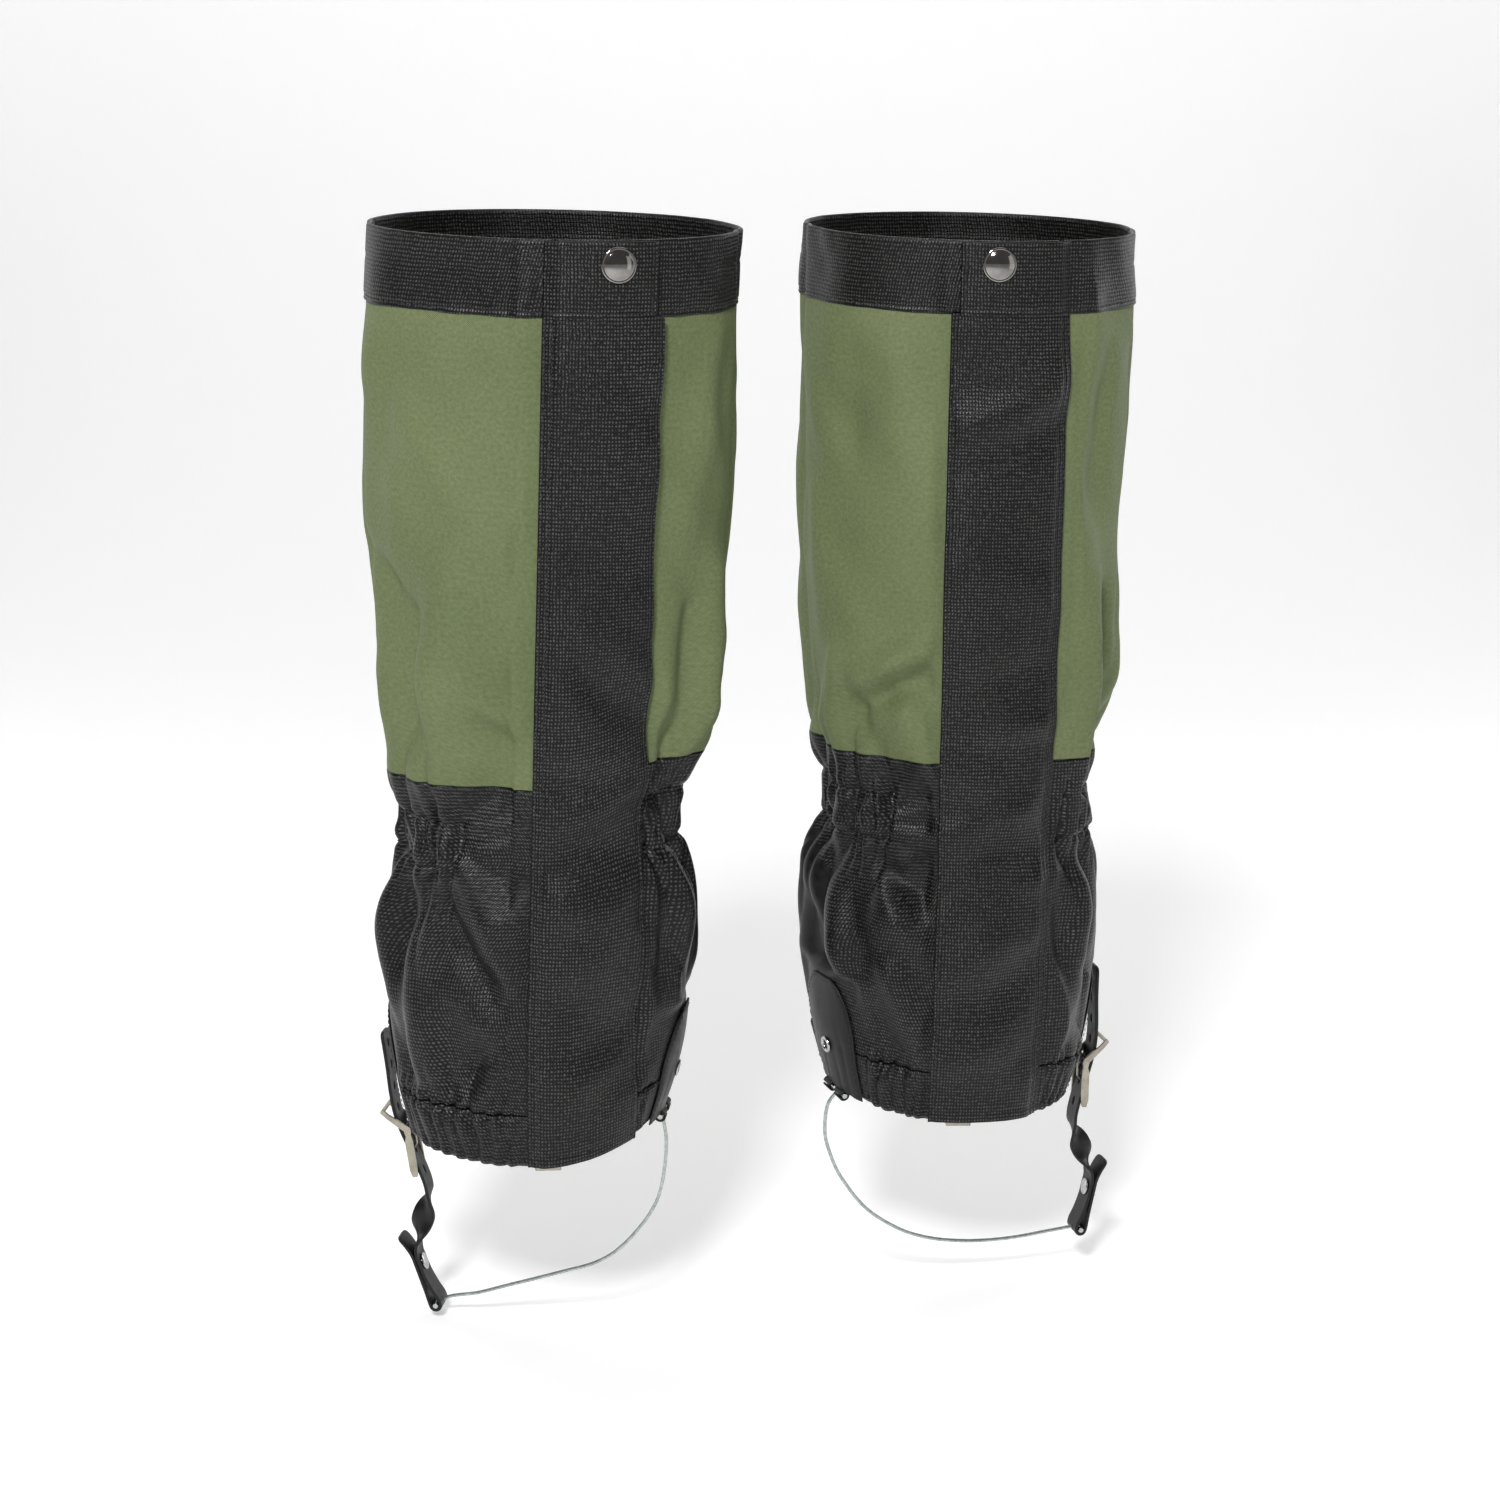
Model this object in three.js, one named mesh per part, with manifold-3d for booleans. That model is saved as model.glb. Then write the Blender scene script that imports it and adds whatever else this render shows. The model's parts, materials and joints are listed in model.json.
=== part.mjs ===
// A pair of hiking gaiters with a front flap, a snapped top cuff and an under-boot stirrup.
// Millimetres, +Z up, toes towards -Y. Z = 0 is the plane of the front hems, and the origin
// lies midway between the two legs. The wearer's right gaiter stands at -X.

import * as THREE from 'three';
import { mergeVertices } from 'three/addons/utils/BufferGeometryUtils.js';
import Module from 'manifold-3d';

const wasm = await Module();
wasm.setup();

// ---- driving dimensions ----

const GAP = 0.4;                  // clearance between pieces that touch
const INSIDE_GAP = 0.8;           // the same on the leg side, where the shell's facets bulge inwards
const HEIGHT = 467;               // front hem to the back of the top edge
const CUFF_HEIGHT = 36.5;
const SEAM_HEIGHT = 195;          // where the upper panel meets the lower one
const RIM_DIP = 8;                // the top edge hangs this much lower in front
const HEM_HEIGHT = 8;             // hem casing
const RISE_FADE = 90;             // the hem's lift on the inner side dies out by this height
const HEM_SHIFT = 1.5;            // the stirrup draws the hem this much towards the inner side
const SHIFT_FADE = 60;
const SPLAY = 7;                  // each leg leans outwards this much over its height
const LEG_SPACING = 220;          // between the two hem centres
const STRIDE = 76;                // the left gaiter stands this far behind the right

const CLOTH = 1.4;                // shell panels
const CASING = 2.0;               // folded hem and cuff
const TAPE = 0.8;                 // hook and loop tapes
const TAPE_WIDTH = 20;
const TAPE_INSET = 5;             // from the free edge of the flap
const TAPE_END_INSET = 12;        // from the hem and from the cuff
const FLAP_CLOTH = 1.1;
const FLAP_RISE = 9;              // the flap climbs over the tapes within this width
const SLIT_START = 4;             // from the stitched edge to the shell's own opening
const SLIT = 2;
const TAB_INSET = 4;              // the cuff tab is this much narrower than the flap

const SNAP_INSET = 18;            // snap centre to the tab's free edge
const SNAP_LIFT = 7;              // snap centre above the cuff's middle
const CAP_RADIUS = 8.5;
const CAP_HEIGHT = 2.6;
const SOCKET_RADIUS = 6;
const SOCKET_HEIGHT = 2;
const STUD_RADIUS = 2;
const STUD_BASE = 0.7;            // thickness of the stud's and the post's flanges
const SHANK_RADIUS = 1.6;

const HOOK_WIDTH = 13;            // lace hook
const HOOK_METAL = 1;
const HOOK_MOUTH = 5;             // room for a boot lace
const HOOK_RISE = 15;
const HOOK_DROP = 4.5;

const ELASTIC_HEIGHT = 22;        // ankle elastics
const ELASTIC_CENTRE = 160;
const ELASTIC_LENGTH = 70;
const ELASTIC = 1;

const PATCH = 1.2;                // reinforcing patches for the stirrup
const PATCH_WIDTH = 46;
const PATCH_HEIGHT = 66;
const OUTER_PATCH_ANGLE = 101;    // degrees round from the toe side
const EYELET_HEIGHT = 24;
const EYELET_HOLE = 2.5;          // radius
const EYELET_TUBE = 0.5;
const EYELET_FLANGE = 1.6;

const PIN_RADIUS = 1.5;           // both stirrup pins
const PIN_PROUD = 0.5;            // each end shows this much
const FOLD_WIDTH = 20;            // patch fold round the inner pin
const FOLD_SLOT = 5;

const STRAP_WIDTH = 13;
const STRAP = 1.6;                // thickness
const STRAP_TWIST = 72;           // degrees, halfway down
const SLOT_LENGTH = 5;
const SLOT_WIDTH = 2.2;
const SLOT_PITCH = 12;
const PRONG_SLOT = -13;           // the prong crosses the strap this far below the buckle bar
const SLOTS_ABOVE = 5;
const SLOTS_BELOW = 1;
const RIVET_DROP = 77;            // buckle bar to the strap's rivet
const RIVET_RADIUS = 4.6;
const RIVET_SHANK = 1.5;
const PIN_DROP = 100;             // buckle bar to the strap's pin
const CABLE_RADIUS = 1;

const BAR_RADIUS = 1.1;           // buckle
const BUCKLE_METAL = 1.1;
const BUCKLE_PLAY = 0.6;          // each side of the strap
const RAIL_LENGTH = 25;
const ARCH_REACH = 12;
const PRONG = 1.5;
const KEEPER_WIDTH = 11.5;
const KEEPER = 0.9;
const KEEPER_RISE = 12;           // buckle bar to the keeper's sewn top
const KEEPER_PLAY = 0.9;          // keeper off the patch, so that the stirrup can swing

// The shell's plan is two half ellipses. Widths above the knee of the calf depend on the gaiter.
const SHELL = [
  { h: 0, half: 65, front: 59, back: 54 },
  { h: 24, half: 71, front: 60, back: 57 },
  { h: 60, half: 76, front: 60, back: 60 },
  { h: 95, half: 77.5, front: 60, back: 61 },
  { h: 130, half: 74, front: 60, back: 57 },
  { h: 160, half: 65, front: 59.5, back: 50 },
  { h: 198, half: 76, front: 60, back: 56 },
  { h: 245, half: 83, front: 60, back: 60 },
];
// Pieces laid on the shell share these levels, so that their facets run parallel.
const LEVELS = [12, 24, 36, 48, 60, 78, 95, 112, 130, 141, 151, 160, 169, 180, 208, 224, 245, 290, 340, 385];
const CALF_HEIGHT = 430;
const CALF_FRONT = 60;
const CALF_BACK = 61;

// Each gaiter: outer side (-1 is -X), half width at the calf, how far the elastic lifts the hem on
// the inner side, the flap's stitched edge as an arc from the toe line, the flap's width, the lace
// hook's arc, the inner patch's angle from the toes, the buckle bar's place, its hang angle and the
// stirrup cable's route, outside to inside.
const RIGHT = {
  name: 'right', side: -1, calf: 92, rise: 16, stitch: -0.5, flap: 56, hook: 10, patch: 84,
  bar: { out: 66.8, up: -7 }, hang: 10,
  cable: [[45, -102.5], [31, -99.5], [18, -95], [2, -89.5], [-15, -83.5], [-30, -78], [-40, -72],
    [-47.5, -65], [-54, -57], [-60, -48], [-64.5, -38.5], [-67, -28], [-68.3, -17], [-68.6, -5]],
};
const LEFT = {
  name: 'left', side: 1, calf: 87, rise: 9, stitch: 48, flap: 60, hook: 4.5, patch: 66,
  bar: { out: 74.5, up: 12 }, hang: 0,
  cable: [[71, -88.5], [58, -90], [46, -91.5], [34, -92.3], [22, -92.3], [11, -91.5], [-4, -89],
    [-19, -84], [-32, -76.5], [-41, -69.5], [-48, -62], [-54, -53.5], [-59.5, -44.5], [-63.5, -35],
    [-66.5, -25], [-67, -14], [-65.5, -5]],
};

// ---- materials ----

const cloth = (color) => new THREE.MeshStandardMaterial({ color, roughness: 0.85, metalness: 0 });
const metal = (color, roughness) => new THREE.MeshStandardMaterial({ color, roughness, metalness: 1 });
const GREEN_TWILL = cloth(0x6f8455);
const BLACK_RIPSTOP = cloth(0x242628);
const BLACK_TAPE = cloth(0x17181a);
const BLACK_ELASTIC = cloth(0x1c1c1e);
const SMOOTH_BLACK = new THREE.MeshStandardMaterial({ color: 0x141516, roughness: 0.4, metalness: 0 });
const GUNMETAL = metal(0x8d8f90, 0.25);
const NICKEL = metal(0xa09a8c, 0.3);
const STEEL = metal(0xc6cac8, 0.3);

// ---- solids ----

const clamp01 = (t) => Math.min(1, Math.max(0, t));
const ease = (t) => { const c = clamp01(t); return c * c * (3 - 2 * c); };
const mix = (a, b, t) => a + (b - a) * t;

/** The shared levels between bottom and top, with both ends. */
const levels = (bottom, top) => [bottom, ...LEVELS.filter((h) => h > bottom + 2 && h < top - 2), top];

/** A closed body from a deformed box: surface(u, h, w) with u in 0..1, w 0 inside and 1 outside. */
function slab(acrossSteps, heights, surface) {
  const positions = [];
  const upSteps = heights.length - 1;
  const index = [];
  const row = upSteps + 1;
  const layer = (acrossSteps + 1) * row;
  const id = (i, j, w) => w * layer + i * row + j;
  for (const w of [0, 1]) {
    for (let i = 0; i <= acrossSteps; i++) {
      for (let j = 0; j <= upSteps; j++) {
        const p = surface(i / acrossSteps, heights[j], w);
        positions.push(p.x, p.y, p.z);
      }
    }
  }
  const quad = (a, b, c, d) => index.push(a, b, c, a, c, d);
  for (let i = 0; i < acrossSteps; i++) {
    for (let j = 0; j < upSteps; j++) {
      quad(id(i, j, 1), id(i + 1, j, 1), id(i + 1, j + 1, 1), id(i, j + 1, 1));
      quad(id(i, j, 0), id(i, j + 1, 0), id(i + 1, j + 1, 0), id(i + 1, j, 0));
    }
  }
  for (let i = 0; i < acrossSteps; i++) {
    quad(id(i, 0, 0), id(i + 1, 0, 0), id(i + 1, 0, 1), id(i, 0, 1));
    quad(id(i, upSteps, 0), id(i, upSteps, 1), id(i + 1, upSteps, 1), id(i + 1, upSteps, 0));
  }
  for (let j = 0; j < upSteps; j++) {
    quad(id(0, j, 0), id(0, j, 1), id(0, j + 1, 1), id(0, j + 1, 0));
    quad(id(acrossSteps, j, 0), id(acrossSteps, j + 1, 0), id(acrossSteps, j + 1, 1), id(acrossSteps, j, 1));
  }
  const geometry = new THREE.BufferGeometry();
  geometry.setAttribute('position', new THREE.Float32BufferAttribute(positions, 3));
  geometry.setIndex(index);
  return geometry;
}

function toManifold(geometry) {
  const bare = geometry.clone();
  for (const name of Object.keys(bare.attributes)) {
    if (name !== 'position') bare.deleteAttribute(name);
  }
  const merged = mergeVertices(bare, 1e-4);
  return new wasm.Manifold(new wasm.Mesh({
    numProp: 3,
    vertProperties: Float32Array.from(merged.attributes.position.array),
    triVerts: Uint32Array.from(merged.index.array),
  }));
}

function fromManifold(solid) {
  const mesh = solid.getMesh();
  const geometry = new THREE.BufferGeometry();
  geometry.setAttribute('position', new THREE.Float32BufferAttribute(mesh.vertProperties, 3));
  geometry.setIndex(Array.from(mesh.triVerts));
  return geometry;
}

function cut(geometry, tools) {
  return fromManifold(tools.reduce((solid, tool) => solid.subtract(toManifold(tool)), toManifold(geometry)));
}

function join(geometries) {
  return fromManifold(geometries.slice(1).reduce(
    (solid, other) => solid.add(toManifold(other)), toManifold(geometries[0])));
}

/** A cylinder along z from z0 to z1. */
function rod(radius, z0, z1, segments = 16) {
  return new THREE.CylinderGeometry(radius, radius, z1 - z0, segments)
    .rotateX(Math.PI / 2).translate(0, 0, (z0 + z1) / 2);
}

/** A body of revolution about z from [radius, z] points, closed on the axis or on itself. */
function turned(points, segments = 18) {
  return new THREE.LatheGeometry(points.map(([r, z]) => new THREE.Vector2(r, z)), segments)
    .rotateX(Math.PI / 2);
}

/** A closed outline of [a, b] points extruded by depth, centred on its thickness. */
function plate(outline, depth) {
  const shape = new THREE.Shape(outline.map(([a, b]) => new THREE.Vector2(a, b)));
  return new THREE.ExtrudeGeometry(shape, { depth, bevelEnabled: false, steps: 1 })
    .translate(0, 0, -depth / 2);
}

/**
 * A flat ribbon in the x-z plane along [x, z] points, its width along y.
 * turn(i) gives the angle, in radians, by which station i is turned about its run.
 */
function ribbon(points, width, thickness, turn = () => 0) {
  const positions = [];
  const index = [];
  const last = points.length - 1;
  points.forEach((p, i) => {
    const before = points[Math.max(0, i - 1)];
    const after = points[Math.min(last, i + 1)];
    const along = new THREE.Vector3(after[0] - before[0], 0, after[1] - before[1]).normalize();
    const width0 = new THREE.Vector3(0, 1, 0);
    const wide = width0.applyAxisAngle(along, turn(i));
    const thick = new THREE.Vector3().crossVectors(along, wide);
    for (const [a, b] of [[-1, -1], [1, -1], [1, 1], [-1, 1]]) {
      const corner = new THREE.Vector3(p[0], 0, p[1])
        .addScaledVector(wide, a * width / 2).addScaledVector(thick, b * thickness / 2);
      positions.push(corner.x, corner.y, corner.z);
    }
  });
  for (let i = 0; i < last; i++) {
    for (let k = 0; k < 4; k++) {
      const a = 4 * i + k;
      const b = 4 * i + (k + 1) % 4;
      index.push(a, b, b + 4, a, b + 4, a + 4);
    }
  }
  const end = 4 * last;
  index.push(0, 2, 1, 0, 3, 2, end, end + 1, end + 2, end, end + 2, end + 3);
  const geometry = new THREE.BufferGeometry();
  geometry.setAttribute('position', new THREE.Float32BufferAttribute(positions, 3));
  geometry.setIndex(index);
  return geometry;
}

function named(name, geometry, material) {
  const mesh = new THREE.Mesh(geometry, material);
  mesh.name = name;
  return mesh;
}

// ---- the shell's surface ----

function stations(g) {
  return [...SHELL,
    { h: 340, half: g.calf - 2, front: CALF_FRONT, back: CALF_BACK },
    { h: CALF_HEIGHT, half: g.calf, front: CALF_FRONT, back: CALF_BACK },
    { h: HEIGHT, half: g.calf - 2, front: CALF_FRONT, back: CALF_BACK - 1 }];
}

/** Smooth value of one field of the stations at height h. */
function along(list, field, h) {
  let k = 1;
  while (k < list.length - 2 && h > list[k].h) k++;
  const [p, q] = [list[k - 1], list[k]];
  const slope = (i) => {
    const lo = list[Math.max(0, i - 1)];
    const hi = list[Math.min(list.length - 1, i + 1)];
    return (hi[field] - lo[field]) / (hi.h - lo.h);
  };
  const span = q.h - p.h;
  const t = clamp01((h - p.h) / span);
  const [t2, t3] = [t * t, t * t * t];
  return (2 * t3 - 3 * t2 + 1) * p[field] + (t3 - 2 * t2 + t) * span * slope(k - 1)
    + (3 * t2 - 2 * t3) * q[field] + (t3 - t2) * span * slope(k);
}

const cuffBottom = HEIGHT - CUFF_HEIGHT;

/** A point of the shell: theta radians round from the toe towards +X, height h, off outwards. */
function place(g, theta, h, off) {
  const list = stations(g);
  const depth = along(list, Math.cos(theta) > 0 ? 'front' : 'back', h);
  const dip = RIM_DIP * (1 + Math.cos(theta)) / 2 * clamp01((h - SEAM_HEIGHT) / (cuffBottom - SEAM_HEIGHT));
  const inner = Math.max(0, -g.side * Math.sin(theta));
  const rise = g.rise * inner * inner * clamp01(1 - h / RISE_FADE);
  const lean = SPLAY * h / HEIGHT + HEM_SHIFT * clamp01(1 - h / SHIFT_FADE);
  return new THREE.Vector3(
    -g.side * lean + (along(list, 'half', h) + off) * Math.sin(theta),
    -(depth + off) * Math.cos(theta),
    h - dip + rise);
}

/** The angle reached by walking s millimetres round the shell at height h from theta0. */
function walk(g, h, theta0, s) {
  const steps = 16;
  const list = stations(g);
  const half = along(list, 'half', h);
  let theta = theta0;
  for (let i = 0; i < steps; i++) {
    const depth = along(list, Math.cos(theta) > 0 ? 'front' : 'back', h);
    theta += s / steps / Math.hypot(half * Math.cos(theta), depth * Math.sin(theta));
  }
  return theta;
}

/** A frame on the shell at (theta, h, off): x outwards, y along the shell, z up, plumb or sloped. */
function seat(g, theta, h, off, plumb = true) {
  const step = 1e-3;
  const round = place(g, theta + step, h, off).sub(place(g, theta - step, h, off)).normalize();
  const up = plumb ? new THREE.Vector3(0, 0, 1) : place(g, theta, h + 4, off).sub(place(g, theta, h - 4, off));
  if (plumb) round.setZ(0).normalize();
  const out = new THREE.Vector3().crossVectors(round, up).normalize();
  const z = new THREE.Vector3().crossVectors(out, round);
  return new THREE.Matrix4().makeBasis(out, round, z).setPosition(place(g, theta, h, off));
}

/** Arc position on the front for a distance from the stitched edge towards the free edge. */
const fromStitch = (g, distance) => g.stitch - g.side * distance;

/** A strip of cloth on the front between two distances from the stitched edge. */
function strip(g, from, to, bottom, top, lift, thickness, acrossSteps) {
  const ends = [fromStitch(g, from), fromStitch(g, to)].sort((a, b) => a - b);
  return slab(acrossSteps, levels(bottom, top), (u, h, w) => {
    const s = mix(ends[0], ends[1], u);
    const distance = Math.abs(s - g.stitch);
    return place(g, walk(g, h, 0, s), h, lift(distance) + w * thickness);
  });
}

/** The shell wraps the leg from one side of its front opening to the other. */
function wrap(g, bottom, top, inside, outside, aroundSteps = 34) {
  const ends = [fromStitch(g, SLIT_START), fromStitch(g, SLIT_START + SLIT)].sort((a, b) => a - b);
  return slab(aroundSteps, levels(bottom, top), (u, h, w) => {
    const start = walk(g, h, 0, ends[1]);
    const finish = walk(g, h, 0, ends[0]) + 2 * Math.PI;
    return place(g, mix(start, finish, u), h, mix(inside, outside, w));
  });
}

/** A patch or band centred on theta, with its half width given by halfWidth(h). */
function band(g, theta, bottom, top, inside, outside, halfWidth, acrossSteps) {
  return slab(acrossSteps, levels(bottom, top), (u, h, w) => {
    const s = mix(-1, 1, u) * halfWidth(h);
    return place(g, walk(g, h, theta, s), h, mix(inside, outside, w));
  });
}

const outerAngle = (g) => g.side * THREE.MathUtils.degToRad(OUTER_PATCH_ANGLE);
const innerAngle = (g) => -g.side * THREE.MathUtils.degToRad(g.patch);

// ---- shell, flap and closure ----

const flapLift = 3 * GAP + 2 * TAPE;
const tabLift = 4 * GAP + STUD_BASE + SOCKET_HEIGHT - STUD_BASE / 2;

const flapSeat = (d) => GAP + (flapLift - GAP) * ease(d / FLAP_RISE);
const tabSeat = (d) => GAP + (tabLift - GAP) * ease(d / FLAP_RISE);

function snapPlace(g) {
  const h = HEIGHT - CUFF_HEIGHT / 2 + SNAP_LIFT;
  const s = fromStitch(g, g.flap - TAB_INSET - SNAP_INSET);
  return seat(g, walk(g, h, 0, s), h, 0, false).multiply(new THREE.Matrix4().makeRotationY(Math.PI / 2));
}

/** Geometry made about the snap's axis (z outwards from the cuff's face), moved onto the cuff. */
const atSnap = (g, geometry) => geometry.applyMatrix4(snapPlace(g));

function cuff(g) {
  const band0 = wrap(g, cuffBottom + GAP, HEIGHT, -CASING, 0);
  return cut(band0, [atSnap(g, rod(SHANK_RADIUS + GAP, -CASING - 2, 2, 12))]);
}

function cuffTab(g) {
  const cloth0 = strip(g, 0, g.flap - TAB_INSET, cuffBottom + GAP, HEIGHT - 1, tabSeat, FLAP_CLOTH, 9);
  return cut(cloth0, [atSnap(g, rod(SHANK_RADIUS + GAP, tabLift - 1.5, tabLift + FLAP_CLOTH + 1.5, 12))]);
}

function lowerPanel(g) {
  const panel = wrap(g, HEM_HEIGHT + GAP, SEAM_HEIGHT - GAP / 2, -CLOTH, 0);
  return cut(panel, [eyeletAt(g, rod(EYELET_HOLE + EYELET_TUBE + GAP, -5, 5, 14))]);
}

function tape(g, lift) {
  const near = g.flap - TAPE_INSET - TAPE_WIDTH;
  return strip(g, near, near + TAPE_WIDTH, TAPE_END_INSET, cuffBottom - TAPE_END_INSET, () => lift, TAPE, 2);
}

function closure(g) {
  const n = (piece) => `${g.name}_${piece}`;
  const capBase = tabLift + FLAP_CLOTH + GAP;
  const studTop = GAP + STUD_BASE + SOCKET_HEIGHT - STUD_BASE;
  const socketBase = GAP + STUD_BASE + GAP;
  const cap = turned([[0, tabLift + GAP], [SHANK_RADIUS, tabLift + GAP], [SHANK_RADIUS, capBase],
    [CAP_RADIUS - 0.5, capBase], [CAP_RADIUS, capBase + 0.5], [CAP_RADIUS - 0.4, capBase + 1.1],
    [CAP_RADIUS * 0.72, capBase + 2.1], [CAP_RADIUS * 0.36, capBase + CAP_HEIGHT - 0.1],
    [0, capBase + CAP_HEIGHT]]);
  const socket = turned([[STUD_RADIUS + GAP, socketBase], [SOCKET_RADIUS - 0.4, socketBase],
    [SOCKET_RADIUS, socketBase + 0.5], [SOCKET_RADIUS - 0.6, socketBase + SOCKET_HEIGHT - 0.4],
    [0, socketBase + SOCKET_HEIGHT - 0.4], [0, studTop + GAP],
    [STUD_RADIUS + GAP, studTop + GAP], [STUD_RADIUS + GAP, socketBase]]);
  const stud = turned([[0, GAP], [SOCKET_RADIUS - 0.6, GAP], [SOCKET_RADIUS - 0.6, GAP + STUD_BASE],
    [STUD_RADIUS, GAP + STUD_BASE], [STUD_RADIUS, studTop - 0.3], [STUD_RADIUS - 0.4, studTop], [0, studTop]]);
  const postFace = -CASING - INSIDE_GAP;
  const post = turned([[0, postFace - STUD_BASE], [SOCKET_RADIUS - 1, postFace - STUD_BASE],
    [SOCKET_RADIUS - 1, postFace], [SHANK_RADIUS, postFace], [SHANK_RADIUS, 0], [0, 0]]);
  return [
    named(n('hook_tape'), tape(g, GAP), BLACK_TAPE),
    named(n('loop_tape'), tape(g, 2 * GAP + TAPE), BLACK_TAPE),
    named(n('front_flap'),
      strip(g, 0, g.flap, 0, cuffBottom - GAP, flapSeat, FLAP_CLOTH, 8), BLACK_RIPSTOP),
    named(n('cuff_tab'), cuffTab(g), BLACK_RIPSTOP),
    named(n('snap_cap'), atSnap(g, cap), GUNMETAL),
    named(n('snap_socket'), atSnap(g, socket), GUNMETAL),
    named(n('snap_stud'), atSnap(g, stud), GUNMETAL),
    named(n('snap_post'), atSnap(g, post), GUNMETAL),
  ];
}

function shell(g) {
  const n = (piece) => `${g.name}_${piece}`;
  const elastic = (theta) => band(g, theta, ELASTIC_CENTRE - ELASTIC_HEIGHT / 2,
    ELASTIC_CENTRE + ELASTIC_HEIGHT / 2, -CLOTH - INSIDE_GAP - ELASTIC, -CLOTH - INSIDE_GAP,
    () => ELASTIC_LENGTH / 2, 7);
  return [
    named(n('cuff'), cuff(g), BLACK_RIPSTOP),
    named(n('upper_panel'), wrap(g, SEAM_HEIGHT + GAP / 2, cuffBottom, -CLOTH, 0), GREEN_TWILL),
    named(n('lower_panel'), lowerPanel(g), BLACK_RIPSTOP),
    named(n('hem_casing'), wrap(g, 0, HEM_HEIGHT, -CASING, 0), BLACK_RIPSTOP),
    named(n('ankle_elastic_outer'), elastic(g.side * Math.PI / 2), BLACK_ELASTIC),
    named(n('ankle_elastic_inner'), elastic(-g.side * Math.PI / 2), BLACK_ELASTIC),
  ];
}

// ---- lace hook ----

function laceHook(g) {
  const theta = walk(g, 0, 0, g.hook);
  const matrix = seat(g, theta, 0, -CASING - INSIDE_GAP);
  const deep = HOOK_MOUTH + 2 * HOOK_METAL;
  const outline = [[0, HOOK_RISE], [0, -HOOK_DROP + 1.5], [-1.5, -HOOK_DROP], [1.5 - deep, -HOOK_DROP],
    [-deep, -HOOK_DROP + 1.5], [-deep, 2], [HOOK_METAL - deep, 2],
    [HOOK_METAL - deep, HOOK_METAL - HOOK_DROP], [-HOOK_METAL, HOOK_METAL - HOOK_DROP],
    [-HOOK_METAL, HOOK_RISE]];
  const hook = plate(outline, HOOK_WIDTH).rotateX(Math.PI / 2).applyMatrix4(matrix);
  const tab = plate([[-HOOK_METAL - GAP, HEM_HEIGHT - 1], [-HOOK_METAL - GAP, HOOK_RISE],
    [-GAP, HOOK_RISE + GAP], [-GAP, HOOK_RISE + 7], [-GAP - TAPE, HOOK_RISE + 7],
    [-HOOK_METAL - GAP - TAPE, HOOK_RISE], [-HOOK_METAL - GAP - TAPE, HEM_HEIGHT - 1]].reverse(), HOOK_WIDTH + 6)
    .rotateX(Math.PI / 2).applyMatrix4(matrix);
  return [
    named(`${g.name}_lace_hook`, hook, NICKEL),
    named(`${g.name}_hook_tab`, tab, BLACK_ELASTIC),
  ];
}

// ---- patches, inner pin and eyelet ----

const patchHalf = (h) => PATCH_WIDTH / 2 * Math.sqrt(1 - 0.85 * clamp01(2 * h / PATCH_HEIGHT - 1) ** 2);

function eyeletAt(g, geometry) {
  const matrix = seat(g, innerAngle(g), EYELET_HEIGHT, 0, false);
  return geometry.applyMatrix4(matrix.multiply(new THREE.Matrix4().makeRotationY(Math.PI / 2)));
}

/** The inner pin's frame: its centre lies under the hem, in the fold of the patch. */
function foldFrame(g) {
  const radius = PIN_RADIUS + GAP + PATCH;
  return seat(g, innerAngle(g), 0, GAP + PATCH / 2, false)
    .multiply(new THREE.Matrix4().makeTranslation(0, 0, -INSIDE_GAP - radius));
}

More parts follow.
